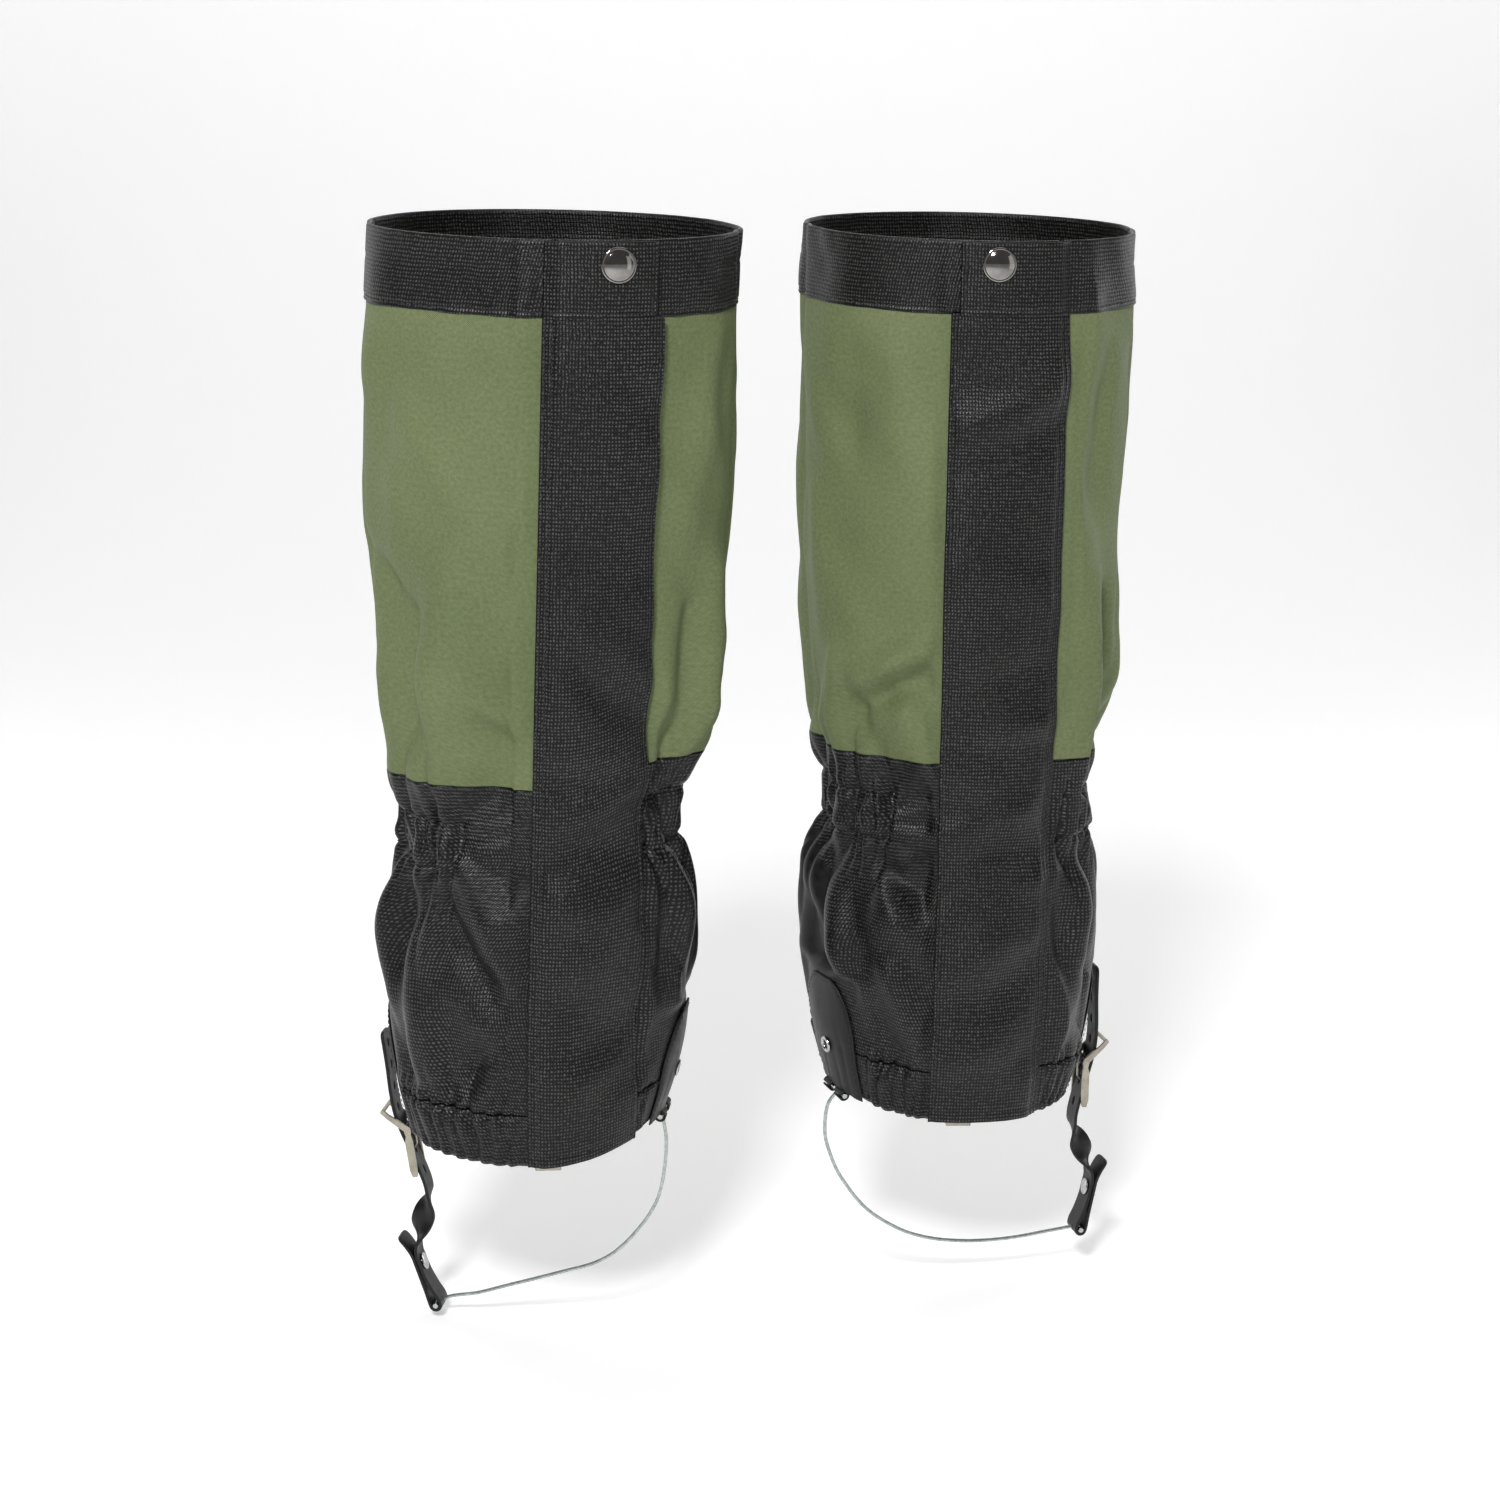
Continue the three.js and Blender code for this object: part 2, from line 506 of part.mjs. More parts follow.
function patches(g) {
  const n = (piece) => `${g.name}_${piece}`;
  const outside = GAP + PATCH;
  const inner0 = band(g, innerAngle(g), -1, PATCH_HEIGHT, GAP, outside, patchHalf, 6);
  const radius = PIN_RADIUS + GAP + PATCH;
  const alongY = (geometry) => geometry.rotateX(Math.PI / 2);
  const fold = alongY(turned([[PIN_RADIUS + GAP, -FOLD_WIDTH / 2], [radius, -FOLD_WIDTH / 2],
    [radius, FOLD_WIDTH / 2], [PIN_RADIUS + GAP, FOLD_WIDTH / 2], [PIN_RADIUS + GAP, -FOLD_WIDTH / 2]], 14))
    .applyMatrix4(foldFrame(g));
  const cableSlot = new THREE.BoxGeometry(3 * radius, FOLD_SLOT, radius + 1)
    .translate(0, 0, -(radius + 1) / 2).applyMatrix4(foldFrame(g));
  const hole = eyeletAt(g, rod(EYELET_HOLE + EYELET_TUBE + GAP, -5, 5, 14));
  const tube = EYELET_HOLE + EYELET_TUBE;
  const flange = EYELET_HOLE + EYELET_FLANGE;
  const inFace = -CLOTH - INSIDE_GAP;
  const outFace = outside + GAP;
  const eyelet = turned([[EYELET_HOLE, inFace - 0.5], [flange, inFace - 0.5], [flange, inFace],
    [tube, inFace], [tube, outFace], [flange, outFace], [flange - 0.4, outFace + 0.6],
    [EYELET_HOLE + 0.3, outFace + 0.6], [EYELET_HOLE, outFace], [EYELET_HOLE, inFace - 0.5]], 14);
  const pin = alongY(rod(PIN_RADIUS, -FOLD_WIDTH / 2 - PIN_PROUD, FOLD_WIDTH / 2 + PIN_PROUD, 14))
    .applyMatrix4(foldFrame(g));
  const bore = alongY(rod(PIN_RADIUS + GAP, -FOLD_WIDTH, FOLD_WIDTH, 14)).applyMatrix4(foldFrame(g));
  return [
    named(n('outer_patch'),
      band(g, outerAngle(g), 0, PATCH_HEIGHT, GAP, outside, patchHalf, 6), SMOOTH_BLACK),
    named(n('inner_patch'), cut(join([inner0, fold]), [bore, cableSlot, hole]), SMOOTH_BLACK),
    named(n('inner_eyelet'), eyeletAt(g, eyelet), STEEL),
    named(n('inner_pin'), pin, STEEL),
  ];
}

// ---- stirrup: buckle, strap and cable ----
// The buckle's own frame has x outwards, y along its bar and z up the strap.

const barPoint = (g) => {
  const y = -along(stations(g), 'back', 0) * Math.cos(outerAngle(g));
  return new THREE.Vector3(g.side * g.bar.out, y, g.bar.up);
};

/** Yaw of the swing line from the inner pin to the keeper. */
function swingYaw(g) {
  const inner = new THREE.Vector3().setFromMatrixPosition(foldFrame(g));
  const outer = barPoint(g);
  return Math.atan2(outer.y - inner.y, outer.x - inner.x);
}

function buckleFrame(g, hang = g.hang) {
  return new THREE.Matrix4().makeTranslation(barPoint(g))
    .multiply(new THREE.Matrix4().makeRotationZ(swingYaw(g)))
    .multiply(new THREE.Matrix4().makeRotationY(THREE.MathUtils.degToRad(hang)));
}

const railInside = STRAP_WIDTH / 2 + BUCKLE_PLAY;
const railMiddle = railInside + BUCKLE_METAL / 2;

function buckle() {
  const side = [[-1.4, 2], [-2, 0], [-1.4, -3], [-1.9, -6], [-1.9, -RAIL_LENGTH + 2],
    [-1, -RAIL_LENGTH - 1], [1.4, -RAIL_LENGTH - 1], [2.3, -RAIL_LENGTH + 3], [2.1, -6],
    [1.1, -3.2], [1.8, 0], [3.6, 1.6], [ARCH_REACH - 2, ARCH_REACH - 4],
    [ARCH_REACH + 0.6, ARCH_REACH - 0.8], [ARCH_REACH - 1, ARCH_REACH + 1],
    [ARCH_REACH - 3.8, ARCH_REACH - 2.3], [1.4, 4.2]];
  const rail = (y) => plate(side, BUCKLE_METAL).rotateX(Math.PI / 2).translate(0, y, 0);
  const bar = (x, z, r) => rod(r, -railMiddle, railMiddle, 12).rotateX(Math.PI / 2).translate(x, 0, z);
  return join([rail(railMiddle), rail(-railMiddle), bar(0, 0, BAR_RADIUS),
    bar(0.3, -RAIL_LENGTH + 1, 1), bar(ARCH_REACH - 0.6, ARCH_REACH - 0.6, 1.1)]);
}

/** A bent tongue: an eye round the bar, a run inside the strap and a tip on the lowest bar. */
function prong() {
  const eye = rod(BAR_RADIUS + GAP + 1.1, -PRONG / 2, PRONG / 2, 14);
  const hole = rod(BAR_RADIUS + GAP, -PRONG, PRONG, 14);
  const h = PRONG / 2;
  const tip = -RAIL_LENGTH - 0.5;
  const lower = 0.3 + 1 + GAP;
  const tongue = plate([[-0.6, -1.6], [-2.3, -0.6], [-2.2, -10.2], [0.9, -14], [lower, -15.5], [lower, tip],
    [lower + 1.2, tip], [lower + PRONG, -15], [2.2, -13], [-0.7, -9.6], [-0.7, -2.1]], PRONG);
  return cut(join([eye, tongue]), [hole]).rotateX(Math.PI / 2).translate(0, 0, 0);
}

// The strap runs from its loose upper end through the buckle, turns edge-on and back, wraps the
// lower pin and ends in a short tail on the outside of its rivet.
const STRAP_RUN = [[4.4, 54], [4.8, 36], [5.6, 21], [5.4, 9.5], [3.8, 0], [0.5, -13], [-2.4, -25],
  [-3.7, -33], [-3.2, -40], [1.5, -50], [6.2, -60], [8.3, -70.9], [7.2, -76.8], [6.1, -82.7],
  [3.2, -PIN_DROP + 8.6], [0.7, -PIN_DROP + 3]];
const PIN_OUT = 2.8;              // the strap pin's distance out from the bar's plumb line
const STRAP_TAIL = [[6.9, -PIN_DROP + 8.6], [8.3, -83.1], [9.4, -77.2], [10.5, -71.3], [13, -65.5], [16.4, -60]];
const RIVET_OUT = 8.3;
const RIVET_LEAN = 0.185;         // radians
const LAYER_PITCH = 2.2;          // between the strap's two layers at the rivet

function strapPoints() {
  const radius = PIN_RADIUS + GAP + STRAP / 2;
  const turnSteps = 7;
  const loop = Array.from({ length: turnSteps }, (_, i) => {
    const angle = mix(Math.PI * 0.92, Math.PI * 1.94, i / (turnSteps - 1));
    return [PIN_OUT + radius * Math.cos(angle), -PIN_DROP + radius * Math.sin(angle)];
  });
  const curve = new THREE.CatmullRomCurve3([...STRAP_RUN, ...loop, ...STRAP_TAIL]
    .map(([x, z]) => new THREE.Vector3(x, 0, z)), false, 'centripetal');
  const stepCount = 78;
  return curve.getSpacedPoints(stepCount).map((p) => [p.x, p.z]);
}

/** The strap's station nearest a height, on its way down, with its direction. */
function strapAt(points, height) {
  const i = points.findIndex(([, z]) => z <= height);
  const [a, b] = [points[i - 1], points[i]];
  const t = (a[1] - height) / (a[1] - b[1]);
  return { x: mix(a[0], b[0], t), z: height, tilt: Math.atan2(b[0] - a[0], a[1] - b[1]) };
}

function strap(g) {
  const points = strapPoints();
  const firstLoop = points.findIndex(([, z]) => z <= -RIVET_DROP);
  const twistTop = -36;
  const twistBottom = -68;
  const turn = (i) => {
    if (i >= firstLoop) return 0;
    const t = clamp01((twistTop - points[i][1]) / (twistTop - twistBottom));
    return g.side * THREE.MathUtils.degToRad(STRAP_TWIST) * Math.pow(Math.sin(Math.PI * t), 2);
  };
  const slot = (height) => {
    const at = strapAt(points, height);
    return new THREE.BoxGeometry(4 * STRAP, SLOT_WIDTH, SLOT_LENGTH).rotateY(-at.tilt).translate(at.x, 0, at.z);
  };
  const slots = Array.from({ length: SLOTS_ABOVE + 1 + SLOTS_BELOW },
    (_, i) => PRONG_SLOT + SLOT_PITCH * (SLOTS_ABOVE - i));
  const pinHole = new THREE.BoxGeometry(2 * PIN_DROP, 2 * (CABLE_RADIUS + 2 * GAP), 2 * CABLE_RADIUS + 4)
    .translate(-PIN_DROP + PIN_OUT - 0.2, 0, -PIN_DROP);
  return cut(ribbon(points, STRAP_WIDTH, STRAP, turn),
    [...slots.map(slot), strapRivetAt(rod(RIVET_SHANK + GAP, -9, 9, 12)), pinHole]);
}

/** Moves geometry made about z onto the axis of the strap's rivet, through both layers. */
function strapRivetAt(geometry) {
  return geometry.rotateY(Math.PI / 2 + RIVET_LEAN).translate(RIVET_OUT, 0, -RIVET_DROP);
}

function strapRivet() {
  const half = (LAYER_PITCH + STRAP) / 2 + GAP;
  return strapRivetAt(turned([[0, -half - 0.9], [RIVET_RADIUS * 0.7, -half - 0.8], [RIVET_RADIUS, -half - 0.3],
    [RIVET_RADIUS - 0.2, -half], [RIVET_SHANK, -half], [RIVET_SHANK, half], [RIVET_RADIUS - 0.2, half],
    [RIVET_RADIUS, half + 0.3], [RIVET_RADIUS * 0.7, half + 0.8], [0, half + 0.9]], 16));
}

/** A folded webbing loop that holds the buckle's bar and is sewn to the outer patch. */
function keeper(g) {
  const yaw = new THREE.Matrix4().makeTranslation(barPoint(g))
    .multiply(new THREE.Matrix4().makeRotationZ(swingYaw(g)));
  const top = place(g, outerAngle(g), g.bar.up + KEEPER_RISE, 2 * GAP + PATCH + KEEPER / 2 + KEEPER_PLAY);
  const onPatch = g.side * top.x - g.bar.out;
  const r = BAR_RADIUS + GAP + KEEPER / 2;
  const loop = [172, 210, 248, 286, 324, 362, 400, 440].map((degrees) => {
    const angle = THREE.MathUtils.degToRad(degrees);
    return [r * Math.cos(angle), r * Math.sin(angle)];
  });
  const run = [[onPatch, KEEPER_RISE], [onPatch, KEEPER_RISE * 0.6], ...loop];
  const notch = new THREE.BoxGeometry(8, PRONG + 2 * GAP + 0.4, 8).translate(0, 0, -1);
  return cut(ribbon(run, KEEPER_WIDTH, KEEPER), [notch]).applyMatrix4(yaw);
}

/** Where the stirrup cable meets the inner pin, in the gaiter's frame. */
function cableInnerEnd(g) {
  return new THREE.Vector3(0, 0, -PIN_RADIUS - 2 * GAP).applyMatrix4(foldFrame(g));
}

function cablePoints(g) {
  const pin = new THREE.Vector3(PIN_OUT, 0, -PIN_DROP).applyMatrix4(buckleFrame(g));
  const inner = cableInnerEnd(g);
  const first = new THREE.Vector3(g.side * g.cable[0][0], pin.y, g.cable[0][1]);
  const start = pin.clone().addScaledVector(first.clone().sub(pin).normalize(), PIN_RADIUS + GAP);
  const middle = g.cable.map(([out, up]) => {
    const share = clamp01((pin.x * g.side - out) / (pin.x * g.side - inner.x * g.side));
    return new THREE.Vector3(g.side * out, mix(pin.y, inner.y, share), up);
  });
  return [start, ...middle, inner];
}

function cable(g) {
  const sides = 8;
  const outline = Array.from({ length: sides }, (_, i) => {
    const angle = 2 * Math.PI * i / sides;
    return new THREE.Vector2(CABLE_RADIUS * Math.cos(angle), CABLE_RADIUS * Math.sin(angle));
  });
  const extrudePath = new THREE.CatmullRomCurve3(cablePoints(g), false, 'centripetal');
  return new THREE.ExtrudeGeometry(new THREE.Shape(outline), { steps: 44, extrudePath, bevelEnabled: false });
}

function stirrup(g) {
  const n = (piece) => `${g.name}_${piece}`;
  const at = buckleFrame(g);
  const pin = rod(PIN_RADIUS, -STRAP_WIDTH / 2 - PIN_PROUD, STRAP_WIDTH / 2 + PIN_PROUD, 14)
    .rotateX(Math.PI / 2).translate(PIN_OUT, 0, -PIN_DROP);
  return [
    named(n('buckle_keeper'), keeper(g), BLACK_ELASTIC),
    named(n('buckle_frame'), buckle().applyMatrix4(at), NICKEL),
    named(n('buckle_prong'), prong().applyMatrix4(at), NICKEL),
    named(n('stirrup_strap'), strap(g).applyMatrix4(at), SMOOTH_BLACK),
    named(n('strap_rivet'), strapRivet().applyMatrix4(at), STEEL),
    named(n('strap_pin'), pin.applyMatrix4(at), STEEL),
    named(n('stirrup_cable'), cable(g), STEEL),
  ];
}

// ---- the pair ----

const pair = new THREE.Group();
for (const g of [RIGHT, LEFT]) {
  const gaiter = new THREE.Group();
  gaiter.position.set(g.side * LEG_SPACING / 2, g.side * STRIDE / 2, 0);
  gaiter.add(...shell(g), ...closure(g), ...laceHook(g), ...patches(g), ...stirrup(g));
  pair.add(gaiter);
}

export default pair;
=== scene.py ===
"""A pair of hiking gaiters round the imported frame: cloth with folds, trims, hardware and a pale studio.

Lengths are millimetres in the shape code and metres in Blender. Theta runs round each leg from the
toe side towards +X, h is the height on the cloth, and off is the distance out from the shell's face.
"""
import json
import math

import bpy
import numpy as np
from mathutils import Matrix, Vector


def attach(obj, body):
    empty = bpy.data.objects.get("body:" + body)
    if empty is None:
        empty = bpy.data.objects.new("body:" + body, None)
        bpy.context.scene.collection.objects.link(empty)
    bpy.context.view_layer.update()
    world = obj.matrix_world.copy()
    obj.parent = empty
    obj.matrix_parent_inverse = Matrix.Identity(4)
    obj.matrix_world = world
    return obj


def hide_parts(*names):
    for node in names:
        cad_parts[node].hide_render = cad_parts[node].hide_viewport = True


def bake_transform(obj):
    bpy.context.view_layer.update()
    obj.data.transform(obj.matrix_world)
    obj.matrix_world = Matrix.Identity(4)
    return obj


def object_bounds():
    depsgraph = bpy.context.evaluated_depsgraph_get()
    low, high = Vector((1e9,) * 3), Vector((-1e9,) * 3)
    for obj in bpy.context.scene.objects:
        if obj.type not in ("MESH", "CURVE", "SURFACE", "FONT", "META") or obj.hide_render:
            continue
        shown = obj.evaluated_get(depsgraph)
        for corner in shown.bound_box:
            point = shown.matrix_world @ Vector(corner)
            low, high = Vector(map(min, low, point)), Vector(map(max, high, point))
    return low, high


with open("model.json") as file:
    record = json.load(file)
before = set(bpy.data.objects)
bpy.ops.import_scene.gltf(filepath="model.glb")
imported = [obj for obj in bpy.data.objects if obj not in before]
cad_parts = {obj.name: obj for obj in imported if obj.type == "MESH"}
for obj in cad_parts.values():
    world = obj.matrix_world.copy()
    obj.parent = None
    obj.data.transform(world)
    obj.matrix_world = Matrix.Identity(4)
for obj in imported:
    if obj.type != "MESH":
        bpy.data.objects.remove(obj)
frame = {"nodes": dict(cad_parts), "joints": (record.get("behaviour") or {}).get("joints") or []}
CAD_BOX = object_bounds()
MM = 0.001

# ---- sizes shared with the frame ----

GAP, INSIDE_GAP = 0.4, 0.8
HEIGHT, CUFF_HEIGHT, SEAM_HEIGHT = 467, 36.5, 195
CUFF_BOTTOM = HEIGHT - CUFF_HEIGHT
RIM_DIP, RISE_FADE = 8, 90
HEM_SHIFT, SHIFT_FADE, SPLAY = 1.5, 60, 7
LEG_SPACING, STRIDE = 220, 76
CLOTH, CASING = 1.4, 2.0
TAPE, TAPE_WIDTH, TAPE_INSET, TAPE_END_INSET = 0.8, 20, 5, 12
FLAP_CLOTH, FLAP_RISE = 1.1, 9
SLIT_START, SLIT = 4, 2
TAB_INSET = 4
SNAP_INSET, SNAP_LIFT, CAP_RADIUS = 18, 7, 8.5
SOCKET_LIFT = 4 * GAP + 0.7 + 2 - 0.35
ELASTIC_CENTRE = 163
PATCH, PATCH_WIDTH, PATCH_HEIGHT = 1.2, 46, 66
OUTER_PATCH_ANGLE = 101
EYELET_HEIGHT = 24
PIN_RADIUS = 1.5
FOLD_WIDTH, FOLD_SLOT = 20, 5
STRAP_WIDTH, STRAP, STRAP_TWIST = 13, 1.6, 72
SLOT_LENGTH, SLOT_WIDTH, SLOT_PITCH, PRONG_SLOT = 5, 2.2, 12, -13
RIVET_DROP, PIN_DROP, PIN_OUT = 77, 100, 2.8
CABLE_RADIUS = 1

STATIONS = [  # height, half width, front depth, back depth
    (0, 65, 59, 54), (24, 71, 60, 57), (60, 76, 60, 60), (95, 77.5, 60, 61), (130, 74, 60, 57),
    (160, 65, 59.5, 50), (198, 76, 60, 56), (245, 83, 60, 60),
]

# ---- sizes of the cloth's detail ----

HEM_TOP = 27  # the row of thread over the hem's elastic
CASING_ROWS = (151, 175)  # the rows of thread below and above the ankle's elastic
CALF_GIRTH, PANEL_GIRTH, HEM_GIRTH = 490, 520, 500  # the panels' flat widths, round the leg
SWAY_RADIUS, FOLD_RADIUS, PLEAT_RADIUS = 68, 70, 74  # arc lengths per radian, for folds
FLAP_ROWS = (1.6, 5.0, 2.2)  # two rows by the stitched edge, one this far from the free edge
LAY = 0.3  # the flap's and the inner patch's cloth stand this much proud of the frame's
PROUD = 0.35  # thread above a patch


# ---- numbers ----

def clamp01(t):
    return np.clip(t, 0.0, 1.0)


def ease(t):
    c = clamp01(t)
    return c * c * (3 - 2 * c)


def window(x, low, high, soft):
    """1 between low and high, easing to 0 within soft outside them."""
    return ease((x - low) / soft + 1) * ease((high - x) / soft + 1)


def bump(x, width):
    return np.exp(-(x / width) ** 2)


def wrap(angle):
    """An angle from -pi to pi."""
    return (angle + np.pi) % (2 * np.pi) - np.pi


def strokes(s, h, folds):
    """Soft ridges (or valleys, below 0) along segments: arc 0, height 0, arc 1, height 1, width, amount."""
    y = 0 * s
    for s0, h0, s1, h1, width, amount in folds:
        ds, dh = s1 - s0, h1 - h0
        t = clamp01(((s - s0) * ds + (h - h0) * dh) / (ds * ds + dh * dh))
        away = np.hypot(s - s0 - t * ds, h - h0 - t * dh)
        ends = 0.35 + 0.65 * np.sin(np.pi * np.clip(0.08 + 0.84 * t, 0, 1))
        y = y + amount * ends * bump(away, width * (0.8 + 0.4 * t))
    return y


LATTICE = np.random.RandomState(11).uniform(-1, 1, (64, 128, 128))


def noise2(x, y, seed):
    """Smooth noise from -1 to 1 over a plane, one lattice cell per unit."""
    layers, width, depth = LATTICE.shape
    lattice = LATTICE[seed % layers]
    xi, yi = np.floor(x).astype(int), np.floor(y).astype(int)
    u, v = x - xi, y - yi
    u, v = u * u * u * (u * (u * 6 - 15) + 10), v * v * v * (v * (v * 6 - 15) + 10)
    at = lambda i, j: lattice[i % width, j % depth]
    low = at(xi, yi) * (1 - u) + at(xi + 1, yi) * u
    high = at(xi, yi + 1) * (1 - u) + at(xi + 1, yi + 1) * u
    return low * (1 - v) + high * v


def ridges(x, sharp=0.75):
    """Round crests with narrow valleys, from -1 to 1, one crest per unit."""
    return 2 * np.abs(np.sin(np.pi * x)) ** sharp - 1


# ---- the shell's surface, as in the frame ----

class Gaiter:
    """One side. side is -1 or 1, calf the half width there, rise how far the elastic lifts the inner hem,
    stitch the arc of the flap's sewn edge and flap its width, patch the inner patch's angle, bar the
    buckle bar's place (out, up), hang the strap's angle, smooth_from the angle where the coated panel
    starts, and lift how far the inner ankle's cloth is drawn up."""

    def __init__(self, name, side, calf, rise, stitch, flap, patch, bar, hang, seed, smooth_from, lift):
        self.name, self.side, self.rise = name, side, rise
        self.stitch, self.flap, self.bar, self.hang = stitch, flap, bar, hang
        self.seed, self.smooth_from, self.lift = seed, smooth_from, lift
        self.outer, self.inner = side * math.radians(OUTER_PATCH_ANGLE), -side * math.radians(patch)
        self.origin = np.array([side * LEG_SPACING / 2, side * STRIDE / 2, 0.0])
        self.rows = np.array(STATIONS + [(340, calf - 2, 60, 61), (430, calf, 60, 61),
                                         (HEIGHT, calf - 2, 60, 60)], float)

    def along(self, column, h):
        """A column of the stations at height h, by a cubic through them."""
        h = np.asarray(h, float)
        x, y = self.rows[:, 0], self.rows[:, column]
        lo, hi = np.maximum(np.arange(len(x)) - 1, 0), np.minimum(np.arange(len(x)) + 1, len(x) - 1)
        slope = (y[hi] - y[lo]) / (x[hi] - x[lo])
        k = np.clip(np.searchsorted(x, h, side="left"), 1, len(x) - 1)
        span = x[k] - x[k - 1]
        t = clamp01((h - x[k - 1]) / span)
        return ((2 * t**3 - 3 * t**2 + 1) * y[k - 1] + (t**3 - 2 * t**2 + t) * span * slope[k - 1]
                + (3 * t**2 - 2 * t**3) * y[k] + (t**3 - t**2) * span * slope[k])

    def depth(self, theta, h):
        return np.where(np.cos(theta) > 0, self.along(2, h), self.along(3, h))

    def speed(self, theta, h):
        """Arc length per radian."""
        return np.hypot(self.along(1, h) * np.cos(theta), self.depth(theta, h) * np.sin(theta))

    def place(self, theta, h, off):
        theta, h, off = np.broadcast_arrays(*(np.asarray(v, float) for v in (theta, h, off)))
        fall = clamp01((h - SEAM_HEIGHT) / (CUFF_BOTTOM - SEAM_HEIGHT))
        dip = RIM_DIP * (1 + np.cos(theta)) / 2 * fall
        inner = np.maximum(0, -self.side * np.sin(theta))
        rise = self.rise * inner**2 * clamp01(1 - h / RISE_FADE)
        lean = SPLAY * h / HEIGHT + HEM_SHIFT * clamp01(1 - h / SHIFT_FADE)
        x = -self.side * lean + (self.along(1, h) + off) * np.sin(theta)
        y = -(self.depth(theta, h) + off) * np.cos(theta)
        turn = np.degrees(np.arctan2(-self.side * np.sin(theta), np.cos(theta)))
        lift = self.lift * window(turn, 50, 135, 42) * bump(h - 190, 62)
        return np.stack([x, y, h - dip + rise + lift], axis=-1) + self.origin

    def walk(self, h, theta0, s):
        """The angle reached after arc length s from theta0."""
        h, theta, s = np.broadcast_arrays(*(np.asarray(v, float) for v in (h, theta0, s)))
        theta, steps = theta.copy(), 16
        for _ in range(steps):
            theta = theta + s / steps / self.speed(theta, h)
        return theta

    def arc(self, theta, h):
        """Arc length from the toe line, signed."""
        theta = wrap(np.asarray(theta, float))
        steps = 12
        return sum(self.speed(theta * (i + 0.5) / steps, h) for i in range(steps)) * theta / steps

    def from_stitch(self, d):
        return self.stitch - self.side * d

    def seat(self, theta, h, off):
        """A frame there: x out, y round the shell, z up."""
        p = self.place(theta, h, off)
        step = 1e-3
        turn = self.place(theta + step, h, off) - self.place(theta - step, h, off)
        up = self.place(theta, h + 4, off) - self.place(theta, h - 4, off)
        turn /= np.linalg.norm(turn)
        out = np.cross(turn, up)
        out /= np.linalg.norm(out)
        z = np.cross(out, turn)
        return Matrix([[out[i], turn[i], z[i], p[i]] for i in range(3)] + [[0, 0, 0, 1]])

    def flap_window(self, theta, h, soft):
        """1 under the flap, 0 away from it."""
        a, b = sorted((self.from_stitch(-1), self.from_stitch(self.flap + 1)))
        return window(self.arc(theta, h), a, b, soft)

    def patch_window(self, theta, h, soft):
        best, half = 0, PATCH_WIDTH / 2
        for centre in (self.outer, self.inner):
            s = wrap(np.asarray(theta) - centre) * np.hypot(
                self.along(1, h) * math.cos(centre), 58 * math.sin(centre))
            best = np.maximum(best, window(s, -half, half, soft) * window(h, -20, PATCH_HEIGHT, soft))
        return best

    def layers(self, u, v, *rows):
        """Noise over u and v, from rows of amount, cell along u, cell along v and seed."""
        return sum(amount * noise2(u / cell_u, v / cell_v, self.seed + seed)
                   for amount, cell_u, cell_v, seed in rows)

    def sway(self, theta, h):
        """Slow waves and creases that every layer of the front shares, the flap too."""
        theta, h = np.broadcast_arrays(np.asarray(theta, float), np.asarray(h, float))
        a = theta * SWAY_RADIUS
        snap = self.from_stitch(self.flap - TAB_INSET - SNAP_INSET)
        at_snap = bump(a - snap, 22) * window(h, 425, 480, 18)
        at_hinge = 0.85 * bump(a - self.stitch, 10)
        y = window(h, 215, 400, 40) * (self.layers(a, h, (3.6, 44, 88, 40))
                                       + self.layers(a + h * 0.5, h, (1.7, 22, 60, 41)))
        y = y + window(h, 40, 135, 26) * (self.layers(a, h, (4.2, 46, 48, 42))
                                          + self.layers(a - h * 0.6, h, (2.2, 20, 38, 43)))
        crease = (h - 168 + (a - 20) * 0.34 * self.side) / 15
        y = y + 1.7 * window(h, 138, 205, 22) * np.sin(crease * 1.9 + self.layers(a, h, (1.3, 40, 40, 44)))
        y = y + window(h, 396, 470, 20) * self.layers(a + 120, h, (2.1, 40, 160, 45))
        y = y + strokes(a, h, SHARED_FOLDS[self.name])
        return y * (1 - at_snap) * (1 - at_hinge) * ease(h / 30 + 0.15)

    def gathers(self, theta, h, a, degrees):
        """The elastics' pleats at the ankle and hem, and the folds that run out of them."""
        up = h - ELASTIC_CENTRE
        sides = window(degrees, 40, 150, 12)
        pleat = ridges(a / 10 + self.layers(a, h, (0.77, 26, 34, 0), (0.3, 9, 16, 1)), 0.6)
        fold = ridges(a / 23 + self.layers(a, h, (0.8, 45, 60, 2)) + up * 0.004 * np.sin(theta), 0.6)
        uneven = 0.8 + self.layers(a, h, (0.6, 13, 11, 3))
        low, high = CASING_ROWS
        y = sides * (2.9 * pleat * bump(up, 24) * uneven + 4.0 * fold * bump(up, 50))
        y = y - sides * 1.9 * (bump(h - low, 2.2) + bump(h - high, 2.2)) + sides * 1.3 * bump(up, 9)
